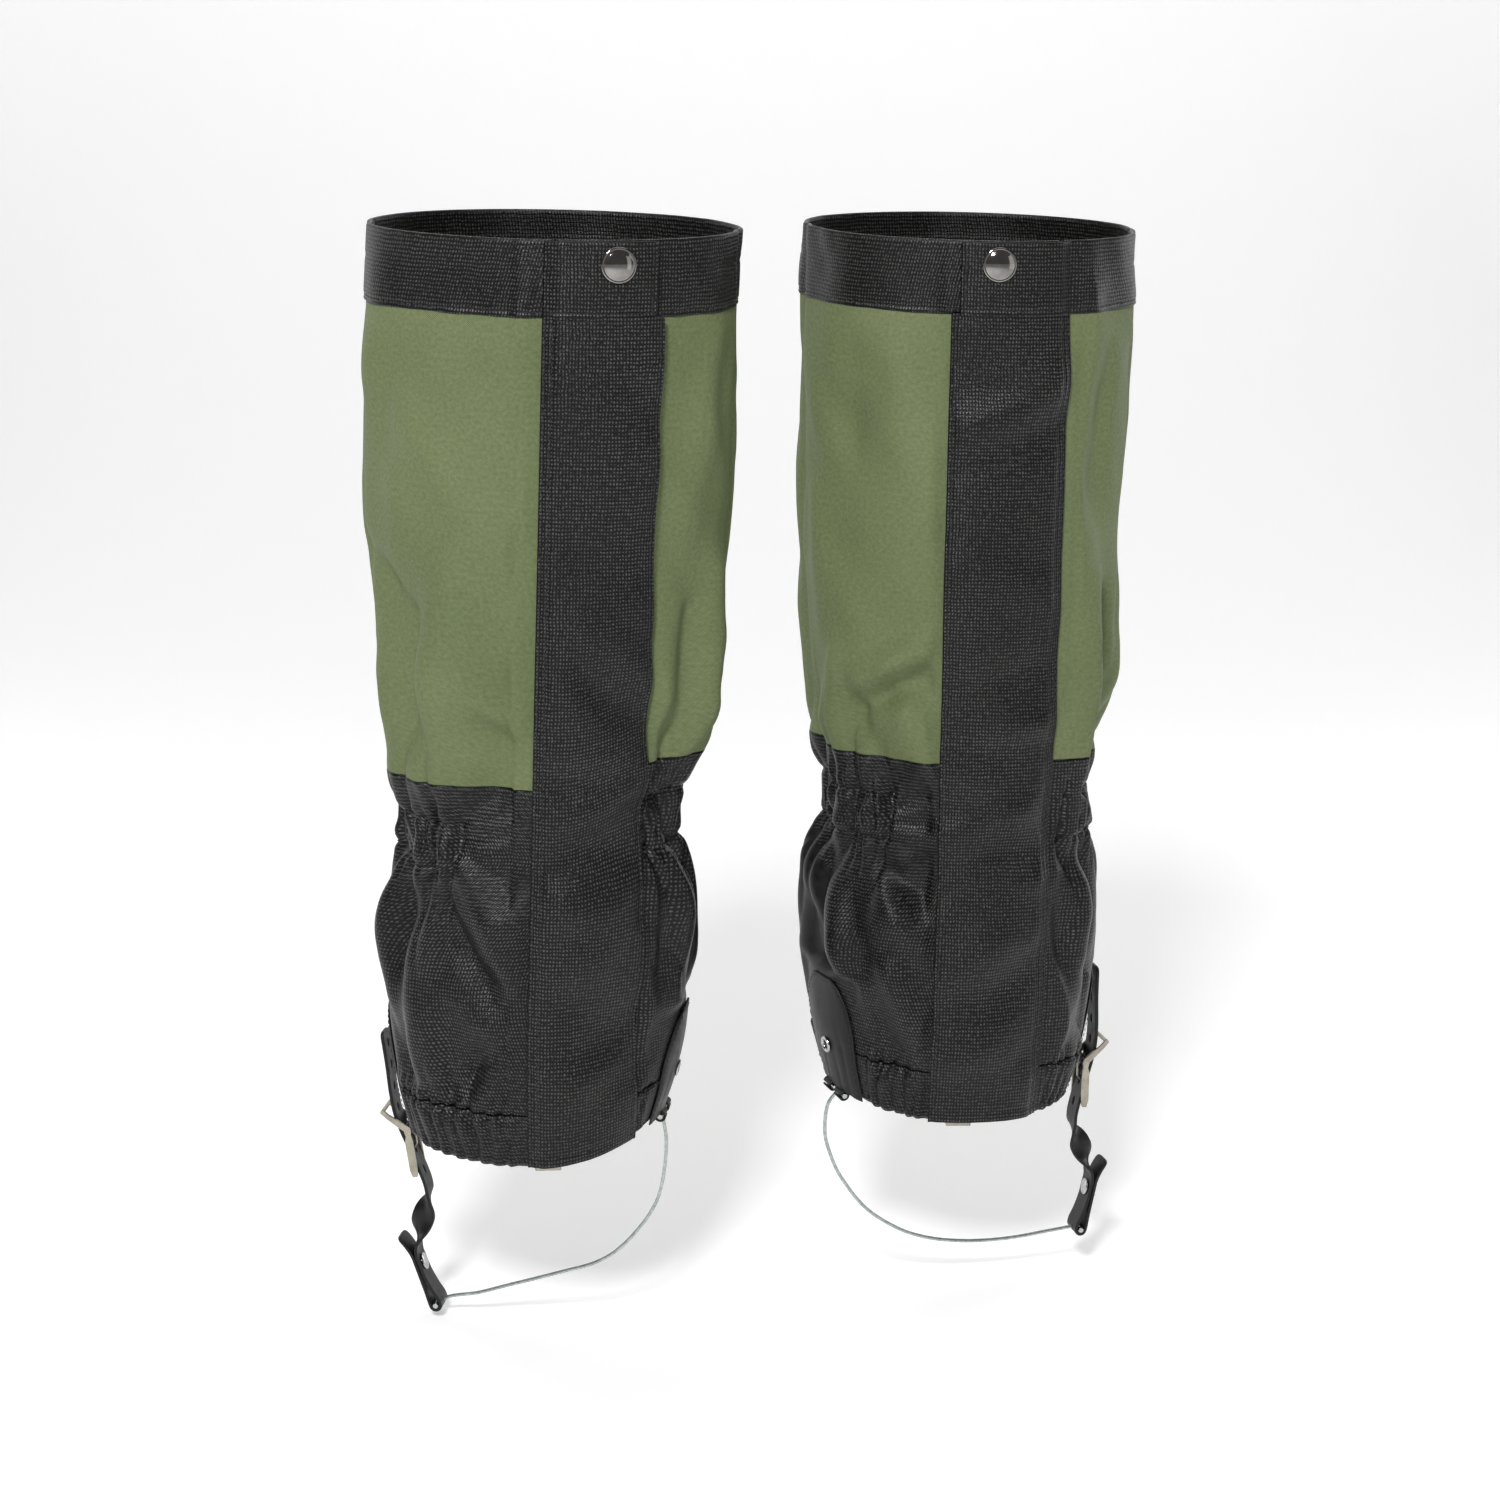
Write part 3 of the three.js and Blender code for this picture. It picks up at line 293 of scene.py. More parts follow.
        # Creases that fan out from each end of the elastic across the front
        for end in (math.radians(40), math.radians(-40)):
            ahead = -np.sign(end) * (wrap(theta) - end) * 62
            r = np.hypot(ahead, up) + 1e-6
            fan = np.arctan2(up, ahead + 6)
            rays = ridges(fan * 1.9 + 0.55 * noise2(r / 30, fan * 1.3, self.seed + 14) + end, 1.3)
            y = y + 1.3 * rays * (r / (r + 9)) * np.exp(-(r / 46) ** 2) * ease((ahead + 14) / 14)
        hem = ridges(a / 8.2 + self.layers(a, h, (0.6, 30, 50, 4), (0.2, 8, 12, 5)), 0.6)
        uneven = 0.85 + self.layers(a, h, (0.5, 17, 30, 15))
        y = y + window(degrees, 14, 200, 16) * (
            2.1 * hem * window(h, -20, 25, 14) * uneven + 1.14 * fold * window(h, -10, 34, 34)
            - 1.5 * bump(h - HEM_TOP, 1.8))
        return y, sides

    def relief(self, theta, h):
        """How far the cloth stands in or out of its smooth form: folds, gathers and drapes."""
        theta, h = np.broadcast_arrays(np.asarray(theta, float), np.asarray(h, float))
        a = ((theta - math.radians(8) * self.side) % (2 * np.pi)) * PLEAT_RADIUS
        wrapped = wrap(theta)
        degrees = np.degrees(np.abs(wrapped))
        y, sides = self.gathers(theta, h, a, degrees)
        # Slack in the bulge over the boot
        lean, cross = a * 0.82 + h * 0.57, h * 0.82 - a * 0.57
        drape = 1.4 * ridges(self.layers(a, h, (0.6, 50, 50, 8)) + lean / 52, 1.2)
        y = y + window(h, 46, 126, 34) * (self.layers(lean, cross, (4.4, 34, 80, 6))
                                          + self.layers(a, h, (3.6, 22, 44, 7)) + drape)
        # The calf: broad vertical folds low down, nearly smooth higher up
        y = y + window(h, 188, 214, 84) * (self.layers(a, h, (6.0, 27, 130, 9)) + self.layers(
            lean, cross, (6.4, 25, 100, 10))) * (0.45 + 0.55 * sides)
        y = y + window(h, 230, 430, 60) * (self.layers(a, h, (3.4, 36, 110, 11))
                                           + self.layers(lean, cross, (1.3, 20, 60, 12)))
        y = y + self.layers(a, h, (0.2, 9, 12, 13)) * window(h, 20, 425, 10)
        laid = strokes(wrapped * FOLD_RADIUS, h, SHELL_FOLDS[self.name])
        y = y + laid * (1.1 + 0.8 * ease((h - SEAM_HEIGHT) / 20))
        # A soft crease down each side
        for crease in (84, -84):
            y = y - 1.6 * bump(wrap(theta - math.radians(crease)) * 60, 3.2) * window(h, 205, 470, 30)
        calm = 1 - 0.9 * self.patch_window(theta, h, 9)
        front = 1 - ease((degrees - 60) / 25)
        open_ = 1 - self.flap_window(theta, h, 7)
        y = (y * open_ + self.sway(wrapped, h) * front) * calm
        # Room by the stitched edge for the opened flap
        past = (wrapped * SWAY_RADIUS - self.stitch) * self.side
        room = 0.5 + 0.4 * np.maximum(past, 0) + 40 * ease((-past - 4) / 20)
        return np.where(y > room, room + 0.1 * (y - room), y)

# Folds laid one by one, as arc from the toe line and height
SHELL_FOLDS = {
    "right": [
        (-46, 165, -9, 103, 9, 4.5), (-54, 150, -18, 84, 7, -3.6), (-34, 112, -13, 88, 6, -3.2),
        (-55, 133, -57, 36, 12, 4.6), (-76, 142, -73, 50, 8, -5.5), (-92, 152, -94, 60, 11, 3.6),
        (-10, 58, -27, 30, 6, 3.0), (-22, 64, -36, 34, 5, -2.4), (-40, 78, -44, 30, 6, -2.6),
        (70, 136, 68, 48, 7, -5.2), (86, 150, 86, 44, 11, 4.4), (104, 140, 104, 60, 9, -3.6),
        (-33, 312, -45, 204, 15, 5.6), (-96, 306, -58, 272, 11, -4.0), (-58, 278, -54, 212, 9, -4.6),
        (-84, 262, -76, 204, 12, 4.0), (-26, 246, -6, 224, 8, 2.6), (-22, 228, -4, 212, 6, -2.2),
        (72, 280, 68, 200, 8, -4.6), (88, 300, 84, 206, 12, 3.8), (-40, 420, -30, 330, 16, 2.4),
        (-66, 410, -78, 340, 12, -2.6), (76, 420, 64, 330, 10, 2.4),
    ],
    "left": [
        (-46, 132, -17, 94, 9, 4.6), (-40, 137, -14, 117, 6, -3.4), (-72, 120, -53, 48, 12, 4.8),
        (-56, 118, -36, 62, 8, -4.4), (-84, 136, -80, 60, 8, -5.0), (-32, 82, -18, 40, 8, 3.4),
        (-40, 56, -26, 30, 6, -2.6), (68, 150, 70, 52, 10, 4.2), (84, 146, 84, 52, 8, -4.8),
        (57, 128, 58, 60, 6, -2.8), (60, 176, 92, 156, 6, 3.2), (-44, 238, -12, 262, 8, 4.4),
        (-48, 222, -14, 244, 7, -4.0), (-62, 246, -76, 204, 9, 4.4), (-52, 226, -50, 204, 7, -3.4),
        (-28, 232, -22, 204, 9, 3.4), (66, 290, 60, 208, 10, 4.0), (82, 280, 78, 206, 8, -4.2),
        (-30, 420, -24, 330, 14, 2.4), (-52, 400, -62, 320, 14, -3.0), (66, 410, 58, 320, 9, -2.6),
        (-80, 330, -70, 250, 12, 2.8),
    ],
}
SHARED_FOLDS = {
    "right": [
        (18, 282, 54, 236, 9, 2.6), (10, 262, 46, 222, 8, -2.2), (6, 214, 50, 196, 8, 2.2),
        (22, 396, 34, 352, 13, 2.2), (2, 332, 26, 300, 10, -2.0), (8, 176, 54, 150, 7, -2.2),
        (0, 150, 50, 118, 12, 2.4), (8, 96, 48, 66, 12, -2.4), (4, 52, 40, 40, 14, 2.0),
    ],
    "left": [
        (-8, 160, 40, 174, 8, 3.0), (-10, 142, 40, 150, 7, -2.8), (-6, 82, 42, 118, 12, 2.8),
        (-6, 60, 40, 92, 11, -2.4), (2, 374, 50, 406, 10, 2.4), (-4, 352, 46, 384, 9, -2.2),
        (-8, 306, 44, 276, 12, 2.2), (-8, 232, 40, 252, 10, -2.2), (-8, 206, 44, 220, 8, 2.4),
        (0, 36, 44, 50, 12, 2.0),
    ],
}
RIGHT = Gaiter("right", -1, 92, 16, -0.5, 56, 84, (66.8, -7), 10, 3, 88, 12)
LEFT = Gaiter("left", 1, 87, 9, 48, 60, 66, (74.5, 12), 0, 23, 62, 0)
PAIR = (RIGHT, LEFT)


# ---- camera: a telephoto view of both fronts, from above ----

CAMERA_AT = (-2.6 * MM, -1388 * MM, 535 * MM)
CAMERA_DOWN = 13.79
CAMERA_ROLL = 1.37
LENS, SENSOR = 66.0, 36.0
camera = bpy.data.objects.new("camera", bpy.data.cameras.new("camera"))
bpy.context.scene.collection.objects.link(camera)
camera.matrix_world = (Matrix.Translation(CAMERA_AT)
                       @ Matrix.Rotation(math.radians(90 - CAMERA_DOWN), 4, "X")
                       @ Matrix.Rotation(math.radians(CAMERA_ROLL), 4, "Z"))
camera.data.lens, camera.data.sensor_width = LENS, SENSOR
bpy.context.scene.camera = camera

# ---- materials ----

def material(name, color, roughness, metallic=0.0, **sockets):
    m = bpy.data.materials.new(name)
    m.use_nodes = True
    shader = m.node_tree.nodes["Principled BSDF"]
    shader.inputs["Base Color"].default_value = (*color, 1)
    shader.inputs["Roughness"].default_value = roughness
    shader.inputs["Metallic"].default_value = metallic
    for key, value in sockets.items():
        shader.inputs[key.replace("_", " ")].default_value = value
    return m, m.node_tree, shader


def node(tree, kind, **values):
    n = tree.nodes.new(kind)
    for key, value in values.items():
        if key in n.inputs:
            n.inputs[key].default_value = value
        else:
            setattr(n, key, value)
    return n


def math_node(tree, operation, a, b=None):
    n = node(tree, "ShaderNodeMath", operation=operation)
    for i, value in enumerate((a, b)):
        if isinstance(value, (int, float)):
            n.inputs[i].default_value = value
        elif value is not None:
            tree.links.new(value, n.inputs[i])
    return n.outputs[0]


def times(tree, a, b):
    return math_node(tree, "MULTIPLY", a, b)


def plus(tree, *terms):
    """The sum, from the last term back."""
    total = terms[-1]
    for term in reversed(terms[:-1]):
        total = math_node(tree, "ADD", term, total)
    return total


def ramp(tree, value, socket, *stops):
    """Drive a socket by a colour ramp over value."""
    n = tree.nodes.new("ShaderNodeValToRGB")
    elements = n.color_ramp.elements
    while len(elements) < len(stops):
        elements.new(0.5)
    for e, (at, color) in zip(elements, stops):
        e.position, e.color = at, (*(color if isinstance(color, tuple) else (color,) * 3), 1)
    tree.links.new(value, n.inputs[0])
    tree.links.new(n.outputs[0], socket)


def weave_axes(tree):
    """The cloth's own coordinates in metres, and its two axes."""
    uv = node(tree, "ShaderNodeUVMap", uv_map="cloth")
    split = tree.nodes.new("ShaderNodeSeparateXYZ")
    tree.links.new(uv.outputs[0], split.inputs[0])
    return uv.outputs[0], split.outputs[0], split.outputs[1]


def solid_axes(tree):
    return node(tree, "ShaderNodeTexCoord").outputs["Object"]


def wave(tree, x, pitch):
    """A wave along x with that pitch in metres."""
    return math_node(tree, "MULTIPLY_ADD", math_node(tree, "SINE", times(tree, x, 2 * math.pi / pitch)), 0.5)


def noise_node(tree, vector, scale, detail=2.0, rough=0.5):
    n = node(tree, "ShaderNodeTexNoise", Scale=scale, Detail=detail, Roughness=rough)
    tree.links.new(vector, n.inputs["Vector"])
    return n.outputs[0]


def set_bump(tree, shader, height, distance, strength=1.0):
    b = node(tree, "ShaderNodeBump", Strength=strength, Distance=distance)
    tree.links.new(height, b.inputs["Height"])
    tree.links.new(b.outputs[0], shader.inputs["Normal"])


def ripstop(name="black_ripstop", base=0.0022, light=0.09):
    """Coated black nylon: a small grid of thicker threads over a plain weave, with slubs."""
    m, t, shader = material(name, (base,) * 3, 0.42, Specular_IOR_Level=0.27, Sheen_Weight=0.01,
                            Sheen_Roughness=0.5)
    uv, x, y = weave_axes(t)
    slub, speck = noise_node(t, uv, 520, 3, 0.7), noise_node(t, uv, 1400, 1)
    cloud = noise_node(t, uv, 14, 3, 0.6)
    wobble = times(t, noise_node(t, uv, 110), 0.0016)
    rib_x, rib_y = (math_node(t, "POWER", wave(t, plus(t, axis, wobble), pitch), 0.4)
                    for axis, pitch in ((x, 0.0015), (y, 0.0019)))
    mixed = plus(t, times(t, times(t, rib_x, rib_y), 0.42), times(t, slub, 0.55), times(t, speck, 0.4))
    tone = plus(t, mixed, times(t, cloud, 0.16))
    ramp(t, tone, shader.inputs["Base Color"], (0.62, (base * 0.25, base * 0.26, base * 0.27)),
         (0.83, (base, base * 1.01, base * 1.02)), (1.0, (light, light, light * 0.98)))
    ramp(t, tone, shader.inputs["Roughness"], (0.6, 0.46), (0.98, 0.26))
    set_bump(t, shader, mixed, 0.00034)
    return m


def twill(name="green_twill"):
    """Green polyester twill: fine diagonal ribs of green and paler threads."""
    m, t, shader = material(name, (0.15, 0.185, 0.09), 0.62, Specular_IOR_Level=0.2, Sheen_Weight=0.04,
                            Sheen_Roughness=0.4, Sheen_Tint=(0.75, 0.8, 0.6, 1))
    uv, x, y = weave_axes(t)
    wobble = times(t, noise_node(t, uv, 160), 0.0006)
    rib = wave(t, plus(t, plus(t, x, times(t, y, 1.6)), wobble), 0.00125)
    slub, cloud = noise_node(t, uv, 520, 2, 0.6), noise_node(t, uv, 9, 3, 0.55)
    tone = plus(t, times(t, rib, 0.35), times(t, slub, 0.45), times(t, cloud, 0.3))
    ramp(t, tone, shader.inputs["Base Color"], (0.25, (0.075, 0.1, 0.04)), (0.55, (0.134, 0.168, 0.075)),
         (0.85, (0.235, 0.262, 0.135)))
    set_bump(t, shader, plus(t, rib, times(t, slub, 0.6)), 0.00012, 0.55)
    return m


def coated(name="smooth_black"):
    """Smooth black coated sheet with faint scuffs."""
    m, t, shader = material(name, (0.008,) * 3, 0.4, Specular_IOR_Level=0.3)
    coord = solid_axes(t)
    scuff = noise_node(t, coord, 220, 4, 0.65)
    ramp(t, scuff, shader.inputs["Base Color"], (0.35, 0.004), (0.75, 0.013))
    ramp(t, scuff, shader.inputs["Roughness"], (0.3, 0.34), (0.8, 0.55))
    set_bump(t, shader, noise_node(t, coord, 900), 0.00006, 0.5)
    return m


def webbing(name, pitch, base=0.016):
    m, t, shader = material(name, (base,) * 3, 0.8, Sheen_Weight=0.2, Sheen_Roughness=0.5)
    coord = solid_axes(t)
    split = t.nodes.new("ShaderNodeSeparateXYZ")
    t.links.new(coord, split.inputs[0])
    fuzz = noise_node(t, coord, 1500, 3, 0.7)
    both = plus(t, times(t, wave(t, split.outputs[2], pitch), 0.6), times(t, fuzz, 0.6))
    ramp(t, both, shader.inputs["Base Color"], (0.3, base * 0.5), (0.9, base * 2.2))
    set_bump(t, shader, both, 0.0003, 0.8)
    return m


def hooked(name, base, scale):
    """Pile of a hook or loop tape."""
    m, t, shader = material(name, (base,) * 3, 0.9, Sheen_Weight=0.25, Sheen_Roughness=0.6)
    cells = node(t, "ShaderNodeTexVoronoi", Scale=scale)
    t.links.new(weave_axes(t)[0], cells.inputs["Vector"])
    ramp(t, cells.outputs["Distance"], shader.inputs["Base Color"], (0.1, base * 2.2), (0.7, base * 0.5))
    set_bump(t, shader, math_node(t, "SUBTRACT", 1.0, cells.outputs["Distance"]), 0.0006, 0.9)
    return m


def plated(name, color, rough, scratch=0.12):
    """Plated metal, with fine scratches and a little tarnish."""
    m, t, shader = material(name, color, rough, 1.0)
    coord = solid_axes(t)
    stretch = node(t, "ShaderNodeMapping", Scale=(1, 1, 0.12))
    t.links.new(coord, stretch.inputs["Vector"])
    lines = noise_node(t, stretch.outputs[0], 900, 4, 0.7)
    dark = tuple(c * 0.72 for c in color)
    ramp(t, noise_node(t, coord, 160, 3, 0.6), shader.inputs["Base Color"], (0.3, dark), (0.62, color))
    ramp(t, lines, shader.inputs["Roughness"], (0.3, max(0.05, rough - scratch)), (0.75, rough + scratch))
    set_bump(t, shader, lines, 0.00003, 0.35)
    return m


def clear_coated(name="coated_cable"):
    """Steel strands under a clear coat."""
    m, t, shader = material(name, (0.42, 0.46, 0.45), 0.3, 0.85, Coat_Weight=0.6, Coat_Roughness=0.2)
    ramp(t, noise_node(t, solid_axes(t), 600), shader.inputs["Base Color"],
         (0.3, (0.3, 0.34, 0.33)), (0.7, (0.52, 0.56, 0.55)))
    return m


RIPSTOP, TWILL, COATED = ripstop(), twill(), coated()
ELASTIC, THREAD = webbing("black_elastic", 0.0011), webbing("black_thread", 0.0006, 0.005)
TAPE_HOOK, TAPE_LOOP = hooked("hook_pile", 0.02, 900), hooked("loop_pile", 0.03, 500)
GUNMETAL = plated("gunmetal", (0.30, 0.29, 0.275), 0.08, 0.03)
NICKEL = plated("nickel", (0.41, 0.38, 0.315), 0.3)
STEEL = plated("steel", (0.52, 0.53, 0.52), 0.24)
CABLE = clear_coated()


# ---- meshes ----

def link(name, data):
    obj = bpy.data.objects.new(name, data)
    bpy.context.scene.collection.objects.link(obj)
    return obj


def new_mesh(name, verts, faces, mats, uv=None, face_material=None):
    """A smooth mesh from millimetre points; faces is an (n, 4) array or a list."""
    mesh = bpy.data.meshes.new(name)
    faces = faces.tolist() if isinstance(faces, np.ndarray) else faces
    mesh.from_pydata((np.asarray(verts, float) * MM).tolist(), [], faces)
    for m in mats if isinstance(mats, list) else [mats]:
        mesh.materials.append(m)
    if face_material is not None:
        mesh.polygons.foreach_set("material_index", np.asarray(face_material, np.int32))
    if uv is not None:
        layer = mesh.uv_layers.new(name="cloth")
        loops = np.empty(len(mesh.loops), np.int32)
        mesh.loops.foreach_get("vertex_index", loops)
        layer.data.foreach_set("uv", (np.asarray(uv, np.float32) * MM)[loops].ravel())
    mesh.polygons.foreach_set("use_smooth", np.ones(len(mesh.polygons), bool))
    mesh.validate()
    return link(name, mesh)


def shell_mesh(name, outer, inner, uv, mats, face_material=None):
    """A closed cloth from its outer and inner grids (across, up, 3)."""
    n, m = outer.shape[:2]
    size = n * m
    ids = np.arange(size).reshape(n, m)
    a, b, c, d = ids[:-1, :-1], ids[1:, :-1], ids[1:, 1:], ids[:-1, 1:]
    front = np.stack([a, b, c, d], -1).reshape(-1, 4)
    back = np.stack([a, d, c, b], -1).reshape(-1, 4) + size
    rim = []
    for line, flip in ((ids[:, 0], False), (ids[:, -1], True), (ids[0, :], True), (ids[-1, :], False)):
        p, q = line[:-1], line[1:]
        quad = np.stack([p + size, q + size, q, p], -1)
        rim.append(quad[:, ::-1] if flip else quad)
    marks = None
    if face_material is not None:
        marks = np.concatenate([face_material.ravel(), face_material.ravel(),
                                np.zeros(sum(len(r) for r in rim), int)])
    verts = np.concatenate([outer.reshape(-1, 3), inner.reshape(-1, 3)])
    uvs = np.concatenate([uv.reshape(-1, 2)] * 2)
    return new_mesh(name, verts, np.concatenate([front, back] + rim), mats, uvs, marks)


def spaced(a, b, step, lines=(), edge=None):
    """Parameters from a to b about step apart, closer at the ends (edge) and at stitched lines."""
    values = list(np.linspace(a, b, max(2, int(round(abs(b - a) / step)) + 1)))
    for inset in (0.12 * edge, 0.4 * edge, edge) if edge else ():
        values += [a + inset, b - inset]
    for line in lines:
        values += [line - 1.3, line - 0.6, line, line + 0.6, line + 1.3]
    values = sorted(v for v in values if a <= v <= b)
    kept = [values[0]]
    for v in values[1:]:
        if v - kept[-1] > 0.12:
            kept.append(v)
    kept[-1] = b
    return np.array(kept)


def rounded(distance, radius):
    """How much of the half thickness is left this far from a rounded edge."""
    t = clamp01(distance / radius)
    return np.sqrt(np.maximum(1 - (1 - t) ** 2, 0.0)) * 0.94 + 0.06


def run_length(points):
    """Distance along the first axis of a line or grid of points."""
    steps = np.linalg.norm(np.diff(points, axis=0), axis=-1)
    return np.concatenate([np.zeros((1,) + steps.shape[1:]), np.cumsum(steps, axis=0)])


def cloth(name, g, thetas, heights, off, thick, mats, edges="", relief=None, face_material=None):
    """Cloth on the shell: thetas (across, up), heights (up) or a grid, off its middle surface."""
    h = np.broadcast_to(heights, thetas.shape)
    y = (relief or g.relief)(thetas, h)
    across = run_length(g.place(thetas, h, off))
    edge_distance = {"sides": np.minimum(across, across[-1] - across), "bottom": h - h[:, :1],
                     "top": h[:, -1:] - h}
    half = thick / 2 * np.ones_like(h)
    for edge in edges.split():
        half = half * rounded(edge_distance[edge], thick / 2)
    outer, inner = g.place(thetas, h, off + y + half), g.place(thetas, h, off + y - half)
    return shell_mesh(name, outer, inner, np.stack([across, h], -1), mats, face_material)


def finish_piece(obj, body, replaces=()):
    if body:
        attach(obj, body)
    if replaces:
        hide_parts(*replaces)
    return obj


def stitches(name, lines, body, pitch, length, radius):
    """Thread laid along lines: each is an array of points in millimetres."""
    rings = np.array([(-0.5, 0.25), (-0.36, 0.9), (0.0, 1.0), (0.36, 0.9), (0.5, 0.25)])
    sides, verts = 6, []
    angles = 2 * np.pi * np.arange(sides) / sides
    for line in lines:
        line = np.asarray(line, float)
        total = run_length(line)
        if total[-1] < pitch:
            continue
        at = np.arange(pitch / 2, total[-1] - pitch / 2 + 1e-6, pitch)
        sample = lambda s: np.stack([np.interp(s, total, line[:, k]) for k in range(3)], -1)
        tangent = sample(at + 0.4) - sample(at - 0.4)
        tangent /= np.linalg.norm(tangent, axis=1)[:, None]
        side = np.cross(tangent, [0.3, 0.2, 0.93])
        side = np.where(np.linalg.norm(side, axis=1)[:, None] < 0.3, np.cross(tangent, [1, 0, 0]), side)
        side /= np.linalg.norm(side, axis=1)[:, None]
        up = np.cross(tangent, side)
        ring = (side[:, None, None] * np.cos(angles)[:, None] + up[:, None, None] * np.sin(angles)[:, None])
        centre = sample(at)[:, None] + tangent[:, None] * rings[:, :1] * length
        verts.append((centre[:, :, None] + ring * rings[:, 1, None, None] * radius).reshape(-1, 3))
    verts = np.concatenate(verts)
    faces, size = [], sides * len(rings)
    for base in range(0, len(verts), size):
        for q in range(base, base + size - sides, sides):
            faces += [(q + i, q + (i + 1) % sides, q + sides + (i + 1) % sides, q + sides + i)
                      for i in range(sides)]
        faces.append(tuple(base + i for i in reversed(range(sides))))
        faces.append(tuple(base + size - sides + i for i in range(sides)))
    return finish_piece(new_mesh(name, verts, faces, THREAD), body, ())


def lathe(name, profile, matrix, mat, body, cad, segments):
    """A body of revolution about z from (radius, z) points, first and last on the axis or the same."""
    angles = np.linspace(0, 2 * np.pi, segments, endpoint=False)
    closed = profile[0] == profile[-1]
    verts, rows, faces = [], [], []
    for r, z in profile[:-1] if closed else profile:
        count = segments if r else 1
        rows.append([len(verts) + i % count for i in range(segments)])
        verts += [(r * math.cos(a), r * math.sin(a), z) for a in angles[:count]]
    for low, high in list(zip(rows, rows[1:])) + ([(rows[-1], rows[0])] if closed else []):
        for i in range(segments):
            j = (i + 1) % segments
            ring = (low[i], low[j], high[j], high[i])
            if low[i] == low[j]:
                ring = (low[i], high[j], high[i])
            elif high[i] == high[j]:
                ring = (low[i], low[j], high[i])
            faces.append(ring)
    obj = new_mesh(name, np.array([tuple(matrix @ Vector(v)) for v in verts]), faces, mat)
    obj.data.set_sharp_from_angle(angle=math.radians(38))
    return finish_piece(obj, body, (cad,))


def add_bevel(obj, width, segments, angle):
    soft = obj.modifiers.new("bevel", "BEVEL")
    soft.width, soft.segments, soft.limit_method = width * MM, segments, "ANGLE"
    soft.angle_limit = math.radians(angle)


def bake_modifiers(obj, sharp=None):
    """Apply the modifiers, then shade smooth with edges past that angle sharp."""
    graph = bpy.context.evaluated_depsgraph_get()
    graph.update()
    mesh = bpy.data.meshes.new_from_object(obj.evaluated_get(graph))
    obj.modifiers.clear()
    obj.data = mesh
    if sharp:
        mesh.polygons.foreach_set("use_smooth", np.ones(len(mesh.polygons), bool))
        mesh.set_sharp_from_angle(angle=math.radians(sharp))


def refined(cad, name, mat, body, slot, bevel=0.25, segments=3, angle=32):
    """A copy of a CAD node's mesh with rounded edges, in its place."""
    source = frame["nodes"][cad]
    mesh = source.data.copy()
    mesh.transform(source.matrix_world)
    mesh.materials.clear()
    mesh.materials.append(mat)
    obj = link(name, mesh)
    obj.modifiers.new("weld", "WELD").merge_threshold = 0.00001
    flat = obj.modifiers.new("flat", "DECIMATE")
    flat.decimate_type, flat.angle_limit = "DISSOLVE", math.radians(1)
    add_bevel(obj, bevel, segments, angle)
    bake_modifiers(obj, 42)
    return finish_piece(obj, body, (cad,))

def laid(g, theta, h, off, relief=None):
    """Points of a line laid on the cloth, off its middle surface."""
    theta, h = np.broadcast_arrays(theta, np.asarray(h, float))
    return g.place(theta, h, off + (relief or g.relief)(theta, h))


# ---- shells ----

def wrap_thetas(g, heights, count):
    """Angles from one edge of the slit round the back to the other, at each height."""
    low, high = sorted((g.from_stitch(SLIT_START), g.from_stitch(SLIT_START + SLIT)))
    start, finish = g.walk(heights, 0, high), g.walk(heights, 0, low) + 2 * np.pi
    u = np.linspace(0, 1, count)[:, None]
    return start[None, :] * (1 - u) + finish[None, :] * u


def row_round(g, height, off, relief=None):
    return laid(g, wrap_thetas(g, np.array([float(height)]), 700)[:, 0], height, off, relief)


